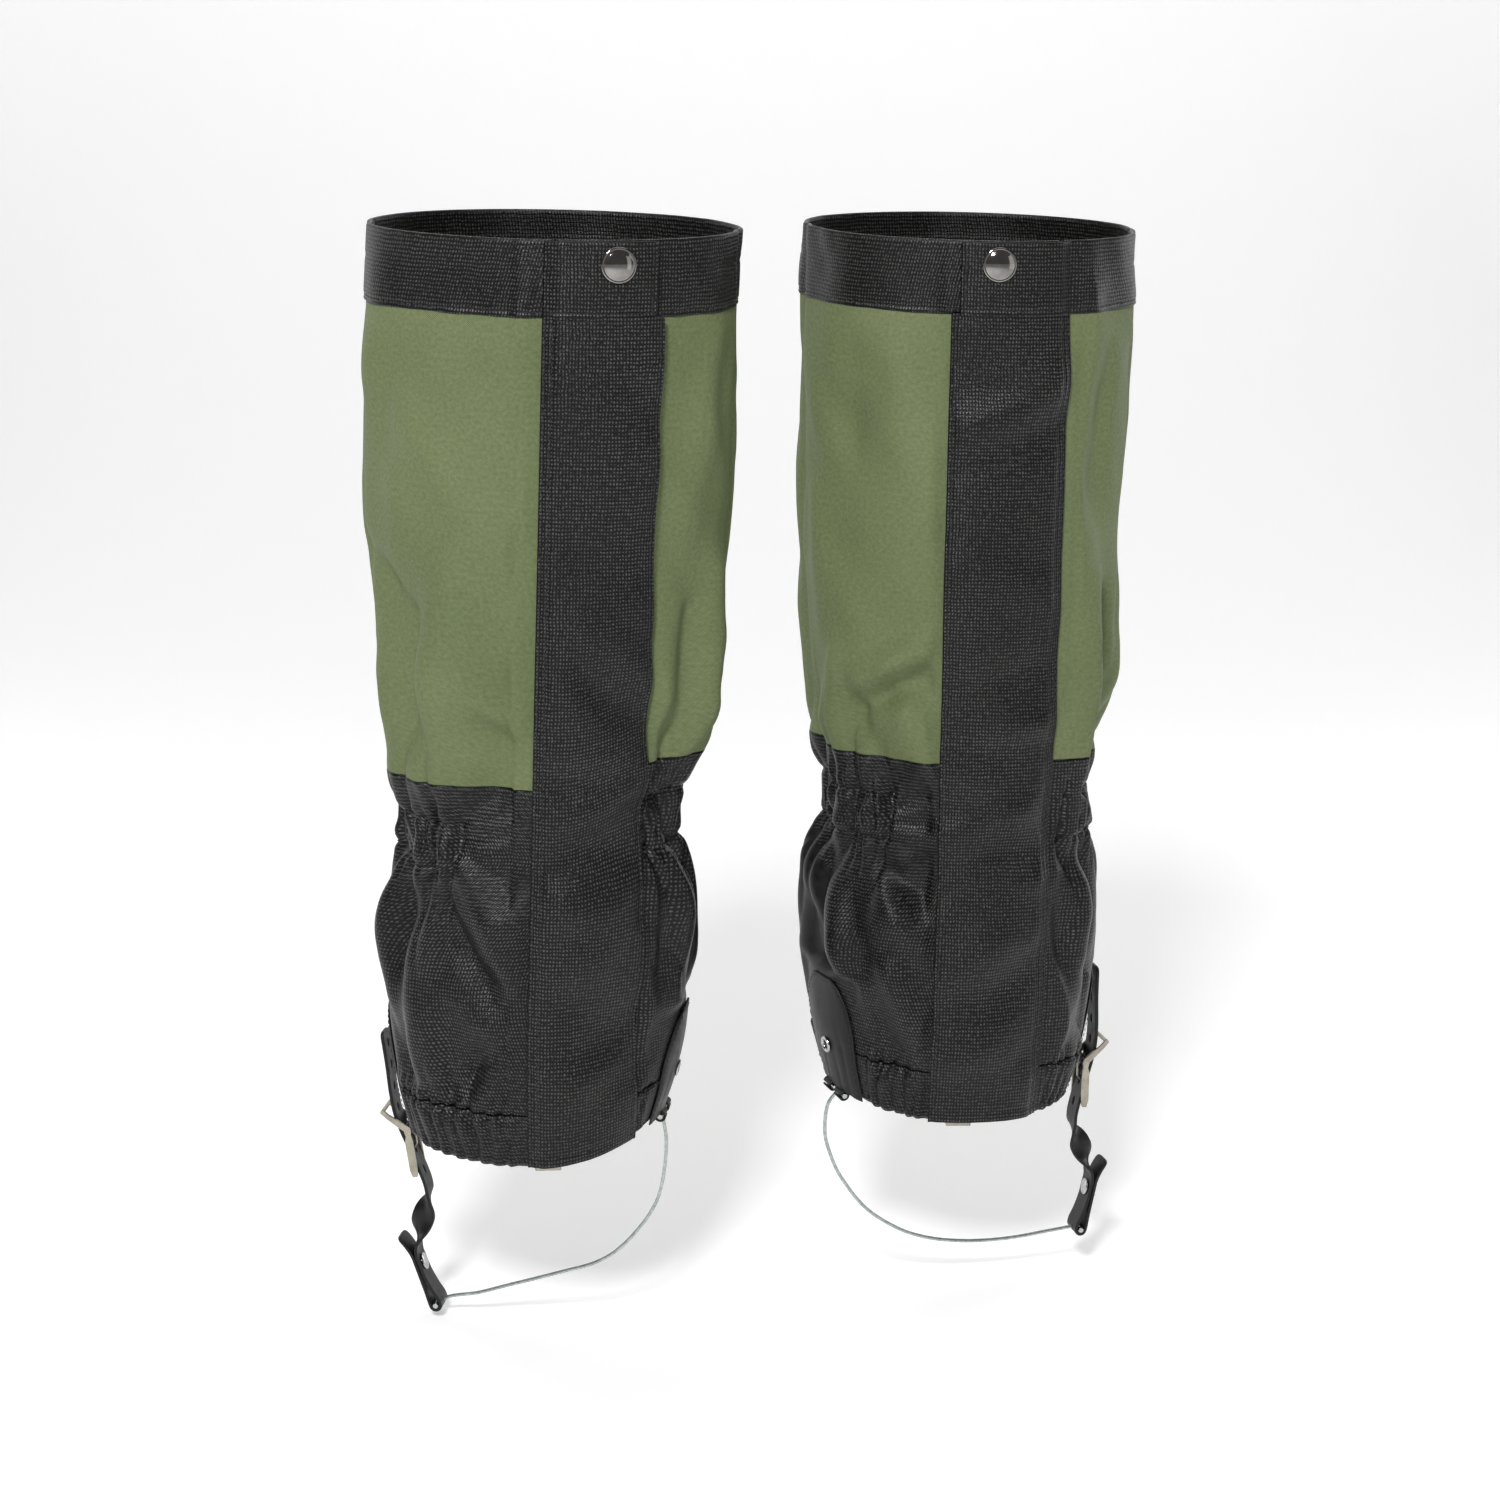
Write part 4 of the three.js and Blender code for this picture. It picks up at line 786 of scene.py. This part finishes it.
def shells(g):
    name = lambda piece: f"{g.name}_{piece}"

    def shell(piece, cad, heights, count, off, thick, mats, slot, flat, held, *more, **marks):
        """A panel that wraps the leg: heights, how many columns, and what its soft row says, which is not
        used.
        """
        obj = cloth(name(piece), g, wrap_thetas(g, heights, count), heights, off, thick, mats, *more, **marks)
        finish_piece(obj, "gaiters", (name(cad),))

    # Lower panel, with a smooth panel of coated cloth round the inner ankle
    h = spaced(HEM_TOP + 0.3, SEAM_HEIGHT - 0.1, 1.7, CASING_ROWS)
    theta = wrap_thetas(g, h, 330)
    centre_t, centre_h = (theta[:-1, :-1] + theta[1:, 1:]) / 2, (h[:-1] + h[1:])[None, :] / 2
    turn = np.degrees(-g.side * wrap(centre_t))
    edge = g.smooth_from + 22 * ease((centre_h - 118) / 26) - 3 * np.sin(centre_h / 30)
    top = 112 + 31 * np.sin(np.pi * clamp01((turn - 40) / 118))
    smooth_zone = ((turn > edge) & (turn < 152) & (centre_h < top)).astype(int)
    shell("lower_shell", "lower_panel", h, 330, -CLOTH / 2 + 0.25, CLOTH, [RIPSTOP, COATED], "black_ripstop",
          (PANEL_GIRTH, SEAM_HEIGHT - HEM_TOP), "gathered", face_material=smooth_zone)
    # Hem casing, gathered on its elastic
    shell("hem_band", "hem_casing", spaced(0, HEM_TOP, 1.5, (HEM_TOP - 1.2, 3)), 330, -CASING / 2 + 0.5,
          CASING, RIPSTOP, "black_ripstop", (HEM_GIRTH, HEM_TOP), "gathered", "bottom")
    # Upper panel
    shell("upper_shell", "upper_panel", spaced(SEAM_HEIGHT + 0.2, CUFF_BOTTOM + 1.5, 2.6, (SEAM_HEIGHT + 2,)),
          250, -CLOTH / 2, CLOTH, TWILL, "green_twill", (CALF_GIRTH, CUFF_BOTTOM - SEAM_HEIGHT), "hung")

    # Cuff: a doubled band that stands a little proud of the panel
    def cuff_relief(t, hh):
        a = (t % (2 * np.pi)) * 76
        y = 0.55 * noise2(a / 30, hh / 30, g.seed + 20) + 0.3 * noise2(a / 11, hh / 16, g.seed + 21)
        seams = sum(bump(wrap(t - math.radians(d)) * 62, 1.0) for d in (97, -97))
        y = y - 0.5 * bump(hh - CUFF_BOTTOM - 3, 0.9) - 0.7 * seams - 0.3 * bump(hh - HEIGHT + 15, 1.2)
        return y * (1 - g.flap_window(t, hh, 5)) + g.relief(t, hh)

    shell("cuff_band", "cuff", spaced(CUFF_BOTTOM + 0.2, HEIGHT, 2.2, (CUFF_BOTTOM + 3,), edge=1.2), 250,
          -0.45, 2.7, RIPSTOP, "black_ripstop", (CALF_GIRTH, CUFF_HEIGHT), "hung", "top bottom", cuff_relief)
    # Ankle elastics, inside
    for which, centre in (("outer", g.side * 90), ("inner", -g.side * 90)):
        h = spaced(ELASTIC_CENTRE - 13, ELASTIC_CENTRE + 8, 2)
        t = np.radians(centre) + np.linspace(-35, 35, 60)[:, None] / 52 + 0 * h[None, :]
        piece = cloth(name(f"ankle_band_{which}"), g, t, h, -CLOTH - 1.6, 0.9, ELASTIC, "sides",
                      lambda t_, h_: np.minimum(g.relief(t_, h_) * 0.6, 0) - 1.2)
        finish_piece(piece, "gaiters", (name(f"ankle_elastic_{which}"),))
    # Rows of thread
    lines = [row_round(g, CUFF_BOTTOM + 3, 0.95, cuff_relief), row_round(g, HEM_TOP - 1.2, 0.75),
             row_round(g, 3, 0.75)]
    lines += [laid(g, np.radians(np.linspace(a, b, 260)), row, 0.35)
              for row in CASING_ROWS for a, b in ((40, 150), (-150, -40))]
    lines += [laid(g, math.radians(end), np.linspace(*CASING_ROWS, 30), 0.35) for end in (41, -41)]
    stitches(name("shell_thread"), lines, "gaiters", 3.3, 2.3, 0.3)


# ---- flap, tab and closure ----

FACING_OUT = Matrix.Rotation(math.pi / 2, 4, "Y")


def flap_seat(d):
    return GAP + (2 * GAP + 2 * TAPE) * ease(d / FLAP_RISE)


def tab_seat(d):
    return GAP + (SOCKET_LIFT - GAP) * ease(d / FLAP_RISE)


def front_strip(g, from_, to, heights, step, lines=(), edge=None):
    """Angles of a strip beside the stitched line, and how far each column is from it."""
    s = np.sort(np.array([g.from_stitch(v) for v in spaced(from_, to, step, lines, edge)]))
    theta = g.walk(heights[None, :], 0, s[:, None])
    return theta, np.abs(s - g.stitch)[:, None] + 0 * heights[None, :]


def hinge_zone(g):
    """Start and end of the stretch where the flap's cloth bends, at its stitched edge."""
    joint = next(j for j in frame["joints"] if j["name"] == f"{g.name}_flap_hinge")
    axis, at = Vector(joint["axis"]).normalized(), Vector(joint["pos_m"])
    t = float(g.walk(200, 0, g.stitch))
    ahead = Vector(g.place(t, 200, 0) - g.place(t + 0.01 * g.side, 200, 0))
    across = (ahead - axis * ahead.dot(axis)).normalized()
    return at - across * 0.001, at + across * 0.009


def flaps(g):
    name = lambda piece: f"{g.name}_{piece}"
    body, k, w = f"{g.name}_flap", g.seed + 30, g.flap
    zone = hinge_zone(g)

    def bends(obj, cad=None):
        """Hide the CAD node it replaces, if one is given, and bake the piece's transform into its mesh."""
        if cad:
            finish_piece(obj, None, (name(cad),))
        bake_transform(obj)

    rows = (FLAP_ROWS[0], FLAP_ROWS[1], w - FLAP_ROWS[2])
    h = spaced(0, CUFF_BOTTOM + 1.0, 2.2, (6,), edge=0.8)
    theta, d = front_strip(g, 0, w, h, 2.0, rows, edge=0.8)

    def relief(t, hh):
        s = d[:, :1] + 0 * hh
        free = ease((s - 6) / 30)
        y = free * (1.1 * noise2(s / 44, hh / 62, k) + 0.5 * noise2(s / 16, hh / 21, k + 1))
        y = y + (0.9 * free * noise2(s / 60, hh / 16 + s / 70, k + 2)
                 * (window(hh, 120, 190, 30) + window(hh, 0, 26, 20)))
        y = y + 0.12 * noise2(s / 6, hh / 7, k + 3)
        y = y + 0.7 * ease((s - w + 9) / 9) * noise2(hh / 26, s / 90, k + 4)
        for row in rows:
            y = y - 0.55 * bump(s - row, 1.05)
        y = y - 0.45 * bump(hh - 6, 1.0)
        return np.maximum(y, -0.9) * ease(s / 4 + 0.2) + g.sway(t, hh)

    thick, middle = 1.5, FLAP_CLOTH / 2 + LAY
    flap = cloth(name("flap_cloth"), g, theta, h, 0, thick, RIPSTOP, "sides bottom",
                 lambda t, hh: flap_seat(d) + middle + relief(t, hh))
    bends(flap, "front_flap")
    name("upper_shell")
    name("lower_shell")
    # Thread rows of the flap
    hh = np.linspace(1.5, CUFF_BOTTOM - 1, 400)
    grid, order, lines = relief(theta, np.broadcast_to(h, theta.shape)), np.argsort(d[:, 0]), []
    for row in rows:
        y = np.interp(hh, h, [np.interp(row, d[order, 0], grid[order, j]) for j in range(len(h))])
        lines.append(g.place(g.walk(hh, 0, g.from_stitch(row)), hh,
                             flap_seat(row) + middle + thick / 2 + 0.05 + y))
    bends(stitches(name("flap_thread"), lines, None, 3.3, 2.3, 0.36))
    # Cuff tab
    tab_w, snap_h = w - TAB_INSET, HEIGHT - CUFF_HEIGHT / 2 + SNAP_LIFT
    edge_row, snap_d, low_row = tab_w - 2.5, tab_w - SNAP_INSET, CUFF_BOTTOM + 3
    h = spaced(CUFF_BOTTOM + 0.1, HEIGHT - 0.6, 2.0, (low_row,), edge=1.0)
    t_theta, t_d = front_strip(g, 0, tab_w, h, 1.8, (edge_row,), edge=0.9)

    def tab_relief(t, hh):
        s = t_d[:, :1] + 0 * hh
        y = 0.45 * noise2(s / 20, hh / 18, k + 6) + 0.1 * noise2(s / 5, hh / 6, k + 7)
        y = y - 0.3 * bump(s - edge_row, 0.8) - 0.4 * bump(hh - low_row, 0.8)
        y = y * (1 - bump(s - snap_d, 10) * bump(hh - snap_h, 10))
        return y * ease(s / 4) + g.sway(t, hh)

    tab = cloth(name("tab_cloth"), g, t_theta, h, 0, 1.7, RIPSTOP, "sides top bottom",
                lambda t, hh: tab_seat(t_d) + FLAP_CLOTH / 2 + tab_relief(t, hh))
    bends(tab, "cuff_tab")
    name("cuff_band")
    lines = []
    for dist, hh, off in ((edge_row, np.linspace(CUFF_BOTTOM + 1.5, HEIGHT - 2, 60), 0.75),
                          (np.linspace(3, tab_w - 2, 90), low_row, 0.6)):
        t = g.walk(hh, 0, g.from_stitch(dist))
        lines.append(g.place(t, hh, tab_seat(dist) + FLAP_CLOTH / 2 + off + g.sway(t, hh)))
    bends(stitches(name("tab_thread"), lines, None, 3.2, 2.2, 0.3))
    # Tapes
    near = w - TAPE_INSET - TAPE_WIDTH
    for piece, lift, mat, rides in (("hook_tape", GAP, TAPE_HOOK, "gaiters"),
                                    ("loop_tape", 2 * GAP + TAPE, TAPE_LOOP, body)):
        h = spaced(TAPE_END_INSET, CUFF_BOTTOM - TAPE_END_INSET, 4)
        t, _ = front_strip(g, near, near + TAPE_WIDTH, h, 2.0, edge=0.5)
        strip = cloth(name(piece + "_pile"), g, t, h, lift + TAPE / 2, TAPE, mat, "sides", g.sway)
        finish_piece(strip, rides, (name(piece),))
    # Snap
    at = g.seat(float(g.walk(snap_h, 0, g.from_stitch(snap_d))), snap_h, 0) @ FACING_OUT
    cap = [(CAP_RADIUS - inset if inset is not None else 0, SOCKET_LIFT + FLAP_CLOTH + GAP + up)
           for inset, up in ((None, -0.4), (0.7, -0.4), (0.15, -0.05), (0, 0.45), (0.12, 0.85), (0.45, 1.1),
                             (0.85, 1.16), (1.15, 1.05), (1.4, 1.1), (2.2, 1.5), (3.6, 2.0), (5.4, 2.4),
                             (7.2, 2.58), (None, 2.62))]
    lathe(name("snap_dome"), cap, at, GUNMETAL, body, name("snap_cap"), 64)
    for piece, rides in (("snap_socket", body), ("snap_stud", "gaiters"), ("snap_post", "gaiters")):
        refined(name(piece), name(piece + "_ring"), GUNMETAL, rides, "gunmetal", 0.15, 2)


# ---- patches, hook and inner pin ----

def patch_half(h):
    return PATCH_WIDTH / 2 * np.sqrt(1 - 0.85 * clamp01(2 * h / PATCH_HEIGHT - 1) ** 2)


def patches(g):
    name = lambda piece: f"{g.name}_{piece}"
    lines, inset = [], 2.4  # the rows of thread from the patch's edge
    for piece, centre, bottom, proud in (("outer_patch", g.outer, 0.0, 0.0),
                                         ("inner_patch", g.inner, -1.0, LAY)):
        h = spaced(bottom, PATCH_HEIGHT, 2.2, (), edge=0.6)
        theta = g.walk(h[None, :], centre, np.linspace(-1, 1, 41)[:, None] * patch_half(h)[None, :])
        obj = cloth(name(piece + "_skin"), g, theta, h, GAP + PATCH / 2 + proud, PATCH, COATED, "sides top",
                    None if proud else lambda t, hh: np.minimum(g.relief(t, hh), 0))
        if piece == "inner_patch":
            add_fold(g)
        finish_piece(obj, "gaiters", (name(piece),))
        hh, top = np.linspace(2, PATCH_HEIGHT - inset, 90), np.full(30, PATCH_HEIGHT - inset)
        for side, height in ((-1, hh), (1, hh), (np.linspace(-1, 1, 30), top)):
            t = g.walk(height, centre, side * (patch_half(height + 1.2) - inset))
            lines.append(laid(g, t, height, GAP + PATCH + PROUD))
    stitches(name("patch_thread"), lines, "gaiters", 3.0, 2.1, 0.22)
    # Eyelet
    out, inside = GAP + PATCH + 0.45, -CLOTH - INSIDE_GAP
    ring = [(2.5, inside), (4.1, inside), (4.1, inside + 0.4), (2.9, inside + 0.5)]
    ring += [(r, out + up) for r, up in ((2.9, -0.1), (4.3, -0.1), (4.55, 0.25), (4.3, 0.75), (3.7, 1.0),
                                         (3.1, 0.85), (2.6, 0.35), (2.45, -0.2))] + ring[:1]
    lathe(name("eyelet_ring"), ring, g.seat(g.inner, EYELET_HEIGHT, 0) @ FACING_OUT, STEEL, "gaiters",
          name("inner_eyelet"), 48)
    refined(name("inner_pin"), name("fold_pin"), STEEL, "gaiters", "steel", 0.3, 3)
    refined(name("lace_hook"), name("hook_bend"), NICKEL, "gaiters", "nickel", 0.3, 3)
    refined(name("hook_tab"), name("hook_strap"), ELASTIC, "gaiters", "black_elastic", 0.2, 2)


def fold_frame(g):
    return (g.seat(g.inner, 0, GAP + PATCH / 2)
            @ Matrix.Translation((0, 0, -INSIDE_GAP - PIN_RADIUS - GAP - PATCH)))


def add_fold(g):
    """The patch's lower edge turns round the pin; its slot lets the cable through."""
    at, r0 = fold_frame(g), PIN_RADIUS + GAP
    angles = np.radians(np.linspace(-80, 250, 28) + 180)
    verts, faces = [], []
    for y0, y1 in ((-FOLD_WIDTH / 2, -FOLD_SLOT / 2), (FOLD_SLOT / 2, FOLD_WIDTH / 2)):
        base = len(verts)
        verts += [at @ Vector((r * math.sin(a), y, r * math.cos(a))) for a in angles
                  for r, y in ((r0, y0), (r0 + PATCH, y0), (r0 + PATCH, y1), (r0, y1))]
        last = len(verts) - 4
        faces += [(p + k, p + (k + 1) % 4, p + (k + 1) % 4 + 4, p + k + 4)
                  for p in range(base, last, 4) for k in range(4)]
        faces += [(base, base + 3, base + 2, base + 1), (last, last + 1, last + 2, last + 3)]
    fold = new_mesh(f"{g.name}_pin_fold", np.array([tuple(v) for v in verts]), faces, COATED)
    fold.data.set_sharp_from_angle(angle=math.radians(40))
    add_bevel(fold, 0.3, 2, 50)
    bake_modifiers(fold)
    finish_piece(fold, "gaiters", ())

# ---- stirrup ----

def catmull(points, count):
    """Centripetal Catmull-Rom through points, evenly spaced."""
    p = np.asarray(points, float)
    p = np.vstack([2 * p[0] - p[1], p, 2 * p[-1] - p[-2]])
    out = []
    for i in range(1, len(p) - 2):
        p0, p1, p2, p3 = p[i - 1:i + 3]
        gaps = [max(np.linalg.norm(b - a), 1e-9) ** 0.5 for a, b in ((p0, p1), (p1, p2), (p2, p3))]
        t0, t1, t2, t3 = np.cumsum([0] + gaps)
        for t in np.linspace(t1, t2, 24, endpoint=False):
            mix = lambda a, b, ta, tb: (tb - t) / (tb - ta) * a + (t - ta) / (tb - ta) * b
            a1, a2, a3 = mix(p0, p1, t0, t1), mix(p1, p2, t1, t2), mix(p2, p3, t2, t3)
            out.append(mix(mix(a1, a2, t0, t2), mix(a2, a3, t1, t3), t1, t2))
    out = np.array(out + [p[-2]])
    run = run_length(out)
    at = np.linspace(0, run[-1], count + 1)
    return np.stack([np.interp(at, run, out[:, k]) for k in range(out.shape[1])], -1)


STRAP_RUN = [(4.4, 54), (4.8, 36), (5.6, 21), (5.4, 9.5), (3.8, 0), (0.5, -13), (-2.4, -25),
             (-3.7, -33), (-3.2, -40), (1.5, -50), (6.2, -60), (8.3, -70.9), (7.2, -76.8), (6.1, -82.7),
             (3.2, -PIN_DROP + 8.6), (0.7, -PIN_DROP + 3)]
STRAP_TAIL = [(6.9, -PIN_DROP + 8.6), (8.3, -83.1), (9.4, -77.2), (10.5, -71.3), (13, -65.5), (16.4, -60)]

CABLES = {  # the route under the boot, outside to inside, as (out, up) from the leg's axis
    "right": [(45, -102.5), (31, -99.5), (18, -95), (2, -89.5), (-15, -83.5), (-30, -78), (-40, -72),
              (-47.5, -65), (-54, -57), (-60, -48), (-64.5, -38.5), (-67, -28), (-68.3, -17), (-68.6, -5)],
    "left": [(71, -88.5), (58, -90), (46, -91.5), (34, -92.3), (22, -92.3), (11, -91.5), (-4, -89),
             (-19, -84), (-32, -76.5), (-41, -69.5), (-48, -62), (-54, -53.5), (-59.5, -44.5), (-63.5, -35),
             (-66.5, -25), (-67, -14), (-65.5, -5)],
}


def strap_points():
    radius = PIN_RADIUS + GAP + STRAP / 2
    turn = [(PIN_OUT + radius * math.cos(a), -PIN_DROP + radius * math.sin(a))
            for a in np.linspace(math.pi * 0.92, math.pi * 1.94, 7)]
    return catmull(STRAP_RUN + turn + STRAP_TAIL, 400)


def buckle_frame(g):
    """The buckle bar's place, turned toward the inner pin and hanging at the strap's angle."""
    y = -g.along(3, 0) * math.cos(g.outer)
    outer = Vector((g.side * g.bar[0] + g.origin[0], float(y) + g.origin[1], g.bar[1]))
    inner = fold_frame(g).translation
    yaw = math.atan2(outer.y - inner.y, outer.x - inner.x)
    return (Matrix.Translation(outer) @ Matrix.Rotation(yaw, 4, "Z")
            @ Matrix.Rotation(math.radians(g.hang), 4, "Y"))


def strap(g):
    """The strap as a grid of cells with its slots left out, given thickness and soft edges."""
    pts = strap_points()
    run = run_length(pts)
    past_rivet = np.argmax(pts[:, 1] <= -RIVET_DROP) + 20
    run_at = lambda z: float(np.interp(-z, -pts[:past_rivet, 1], run[:past_rivet]))
    at_run = lambda s: np.array([np.interp(s, run, pts[:, 0]), 0, np.interp(s, run, pts[:, 1])])
    slots = [run_at(PRONG_SLOT + SLOT_PITCH * (5 - i)) for i in range(7)]
    reach, corner_cut = SLOT_LENGTH / 2, 0.7  # half a slot, and the length of its narrower end
    cuts = [s + d for s in slots for d in (-reach, -reach + corner_cut, reach - corner_cut, reach)]
    end = run[-1]
    tips = [0.6, 1.6, 3.2, end - 0.6, end - 1.6, end - 3.2]
    along = sorted(set(np.round(np.concatenate([np.linspace(0, end, 170), cuts, tips]), 3)))
    is_cut = lambda s: any(abs(s - c) < 1e-3 for c in cuts)
    kept = [along[0]]
    for s in along[1:]:
        close = s - kept[-1] <= 0.35
        if close and not is_cut(s):
            continue
        if close and len(kept) > 1 and not is_cut(kept[-1]):
            kept.pop()
        kept.append(s)
    half, core, corner = STRAP_WIDTH / 2, 0.45, 3.2
    right_half = np.array([core, SLOT_WIDTH / 2, 3.6, half - 0.9, half])
    across = np.concatenate([-right_half[::-1], right_half])
    start, stop = run_at(-36), run_at(-68)  # it twists between these heights
    verts, faces = [], []
    for s in kept:
        ahead = Vector(at_run(s + 0.6) - at_run(s - 0.6)).normalized()
        twist = math.sin(math.pi * float(clamp01((s - start) / (stop - start)))) ** 2
        wide = Matrix.Rotation(g.side * math.radians(STRAP_TWIST) * twist, 3, ahead) @ Vector((0, 1, 0))
        missing = max(corner - min(s, end - s), 0)
        shrink = (half - corner + math.sqrt(max(0, corner**2 - missing**2))) / half
        verts += [tuple(Vector(at_run(s)) + wide * w * shrink) for w in across]
    n = len(across)
    for i, mid in enumerate((a + b) / 2 for a, b in zip(kept, kept[1:])):
        away = min(abs(mid - s) for s in slots)
        hole = 0 if away >= reach else SLOT_WIDTH / 2 if away <= reach - corner_cut else core
        faces += [(a, a + 1, a + 1 + n, a + n) for j, a in enumerate(range(i * n, i * n + n - 1))
                  if abs(across[j] + across[j + 1]) / 2 >= hole]
    at = buckle_frame(g)
    obj = new_mesh(f"{g.name}_strap_body", np.array([tuple(at @ Vector(v)) for v in verts]), faces, COATED)
    solid = obj.modifiers.new("solid", "SOLIDIFY")
    solid.thickness, solid.offset = STRAP * MM, 0
    add_bevel(obj, 0.32, 2, 50)
    bake_modifiers(obj, 50)
    finish_piece(obj, f"{g.name}_stirrup", (f"{g.name}_stirrup_strap",))


def cable_points(g):
    o = Vector(g.origin)
    pin = buckle_frame(g) @ Vector((PIN_OUT, 0, -PIN_DROP)) - o
    inner = fold_frame(g) @ Vector((0, 0, -PIN_RADIUS - 2 * GAP)) - o
    route = CABLES[g.name]
    first = Vector((g.side * route[0][0], pin.y, route[0][1]))
    middle = [(g.side * out, pin.y + (inner.y - pin.y)
               * float(clamp01((pin.x - g.side * out) / (pin.x - inner.x))), up) for out, up in route]
    start = pin + (first - pin).normalized() * (PIN_RADIUS + GAP)
    return [tuple(Vector(p) + o) for p in [start, *middle, inner]]


def cable(g):
    """A laid cable under a clear coat: the strands show as slight lobes that turn along it."""
    path = catmull(cable_points(g), 420)
    run = run_length(path)
    sides, lobes, lay = 24, 6, 9.0
    tangent = np.gradient(path, axis=0)
    tangent /= np.linalg.norm(tangent, axis=1)[:, None]
    side = np.cross(tangent[0], [0, 1, 0])
    angles = 2 * np.pi * np.arange(sides)[:, None] / sides
    verts = []
    for at, ahead, distance in zip(path, tangent, run):
        side = side - ahead * np.dot(side, ahead)
        side /= np.linalg.norm(side)
        strands = np.abs(np.cos(lobes / 2 * (angles - 2 * np.pi * distance / lay)))
        verts.append(at + (side * np.cos(angles) + np.cross(ahead, side) * np.sin(angles))
                     * CABLE_RADIUS * (0.95 + 0.05 * strands))
    ids = np.arange(len(path) * sides).reshape(len(path), sides)
    nxt = np.roll(ids, -1, axis=1)
    faces = np.stack([ids[:-1], nxt[:-1], nxt[1:], ids[1:]], -1).reshape(-1, 4).tolist()
    faces += [tuple(reversed(ids[0].tolist())), tuple(ids[-1].tolist())]
    obj = new_mesh(f"{g.name}_cable_run", np.concatenate(verts), faces, CABLE)
    obj.data.set_sharp_from_angle(angle=math.radians(60))
    finish_piece(obj, f"{g.name}_stirrup", (f"{g.name}_stirrup_cable",))


def stirrups(g):
    cable(g)
    strap(g)
    for cad, piece, mat, slot, *bevel in (
            ("buckle_frame", "buckle_body", NICKEL, "nickel", 0.3, 3),
            ("buckle_prong", "buckle_tongue", NICKEL, "nickel", 0.3, 3),
            ("buckle_keeper", "keeper_loop", ELASTIC, "black_elastic", 0.2, 2),
            ("strap_pin", "cable_pin", STEEL, "steel", 0.3, 3),
            ("strap_rivet", "strap_stud", STEEL, "steel", 0.2, 2, 50)):
        refined(f"{g.name}_{cad}", f"{g.name}_{piece}", mat, f"{g.name}_stirrup", slot, *bevel)


for gaiter in PAIR:
    stirrups(gaiter)
    shells(gaiter)
    flaps(gaiter)
    patches(gaiter)


# ---- studio ----

FLOOR = CAD_BOX[0][2] - 0.004
REACH, BACK, LIFT, TURN = 30.0, 2.2, 4.0, 0.8  # metres: half the width, the sweep's face, height and radius
TARGET = (0, 0, 0.22)


def studio_floor():
    profile = [(-REACH, 0), (-3.0, 0)] + [(BACK - TURN + TURN * math.sin(a), TURN - TURN * math.cos(a))
                                          for a in np.linspace(0, math.pi / 2, 13)] + [(BACK, LIFT)]
    mesh = bpy.data.meshes.new("floor")
    mesh.from_pydata([(x, y, FLOOR + z) for y, z in profile for x in (-REACH, REACH)], [],
                     [(2 * i, 2 * i + 1, 2 * i + 3, 2 * i + 2) for i in range(len(profile) - 1)])
    mesh.materials.append(material("pale_floor", (0.93,) * 3, 0.8, Emission_Color=(1, 1, 1, 1),
                                   Emission_Strength=0.26)[0])
    mesh.polygons.foreach_set("use_smooth", [True] * len(mesh.polygons))
    link("floor", mesh)


def panel(name, centre, size, energy):
    light = bpy.data.lights.new(name, "AREA")
    light.shape, light.size, light.size_y, light.energy = "RECTANGLE", size[0], size[1], energy
    obj = link(name, light)
    obj.location = centre
    obj.rotation_euler = (Vector(TARGET) - Vector(centre)).to_track_quat("-Z", "Y").to_euler()


studio_floor()
panel("key", (-0.45, -2.0, 1.9), (0.45, 0.45), 52)
panel("fill", (1.7, -1.2, 0.6), (0.6, 1.4), 2)
panel("top", (0, 0.3, 1.9), (1.8, 1.0), 7)
panel("rim_left", (-1.5, 0.9, 0.7), (0.5, 1.5), 3.5)
panel("rim_right", (1.5, 1.0, 0.7), (0.5, 1.5), 6)
world = bpy.data.worlds.new("studio")
world.use_nodes = True
background = world.node_tree.nodes["Background"]
background.inputs[0].default_value, background.inputs[1].default_value = (1, 1, 1, 1), 0.14
bpy.context.scene.world = world
bpy.context.scene.view_settings.view_transform = "Standard"
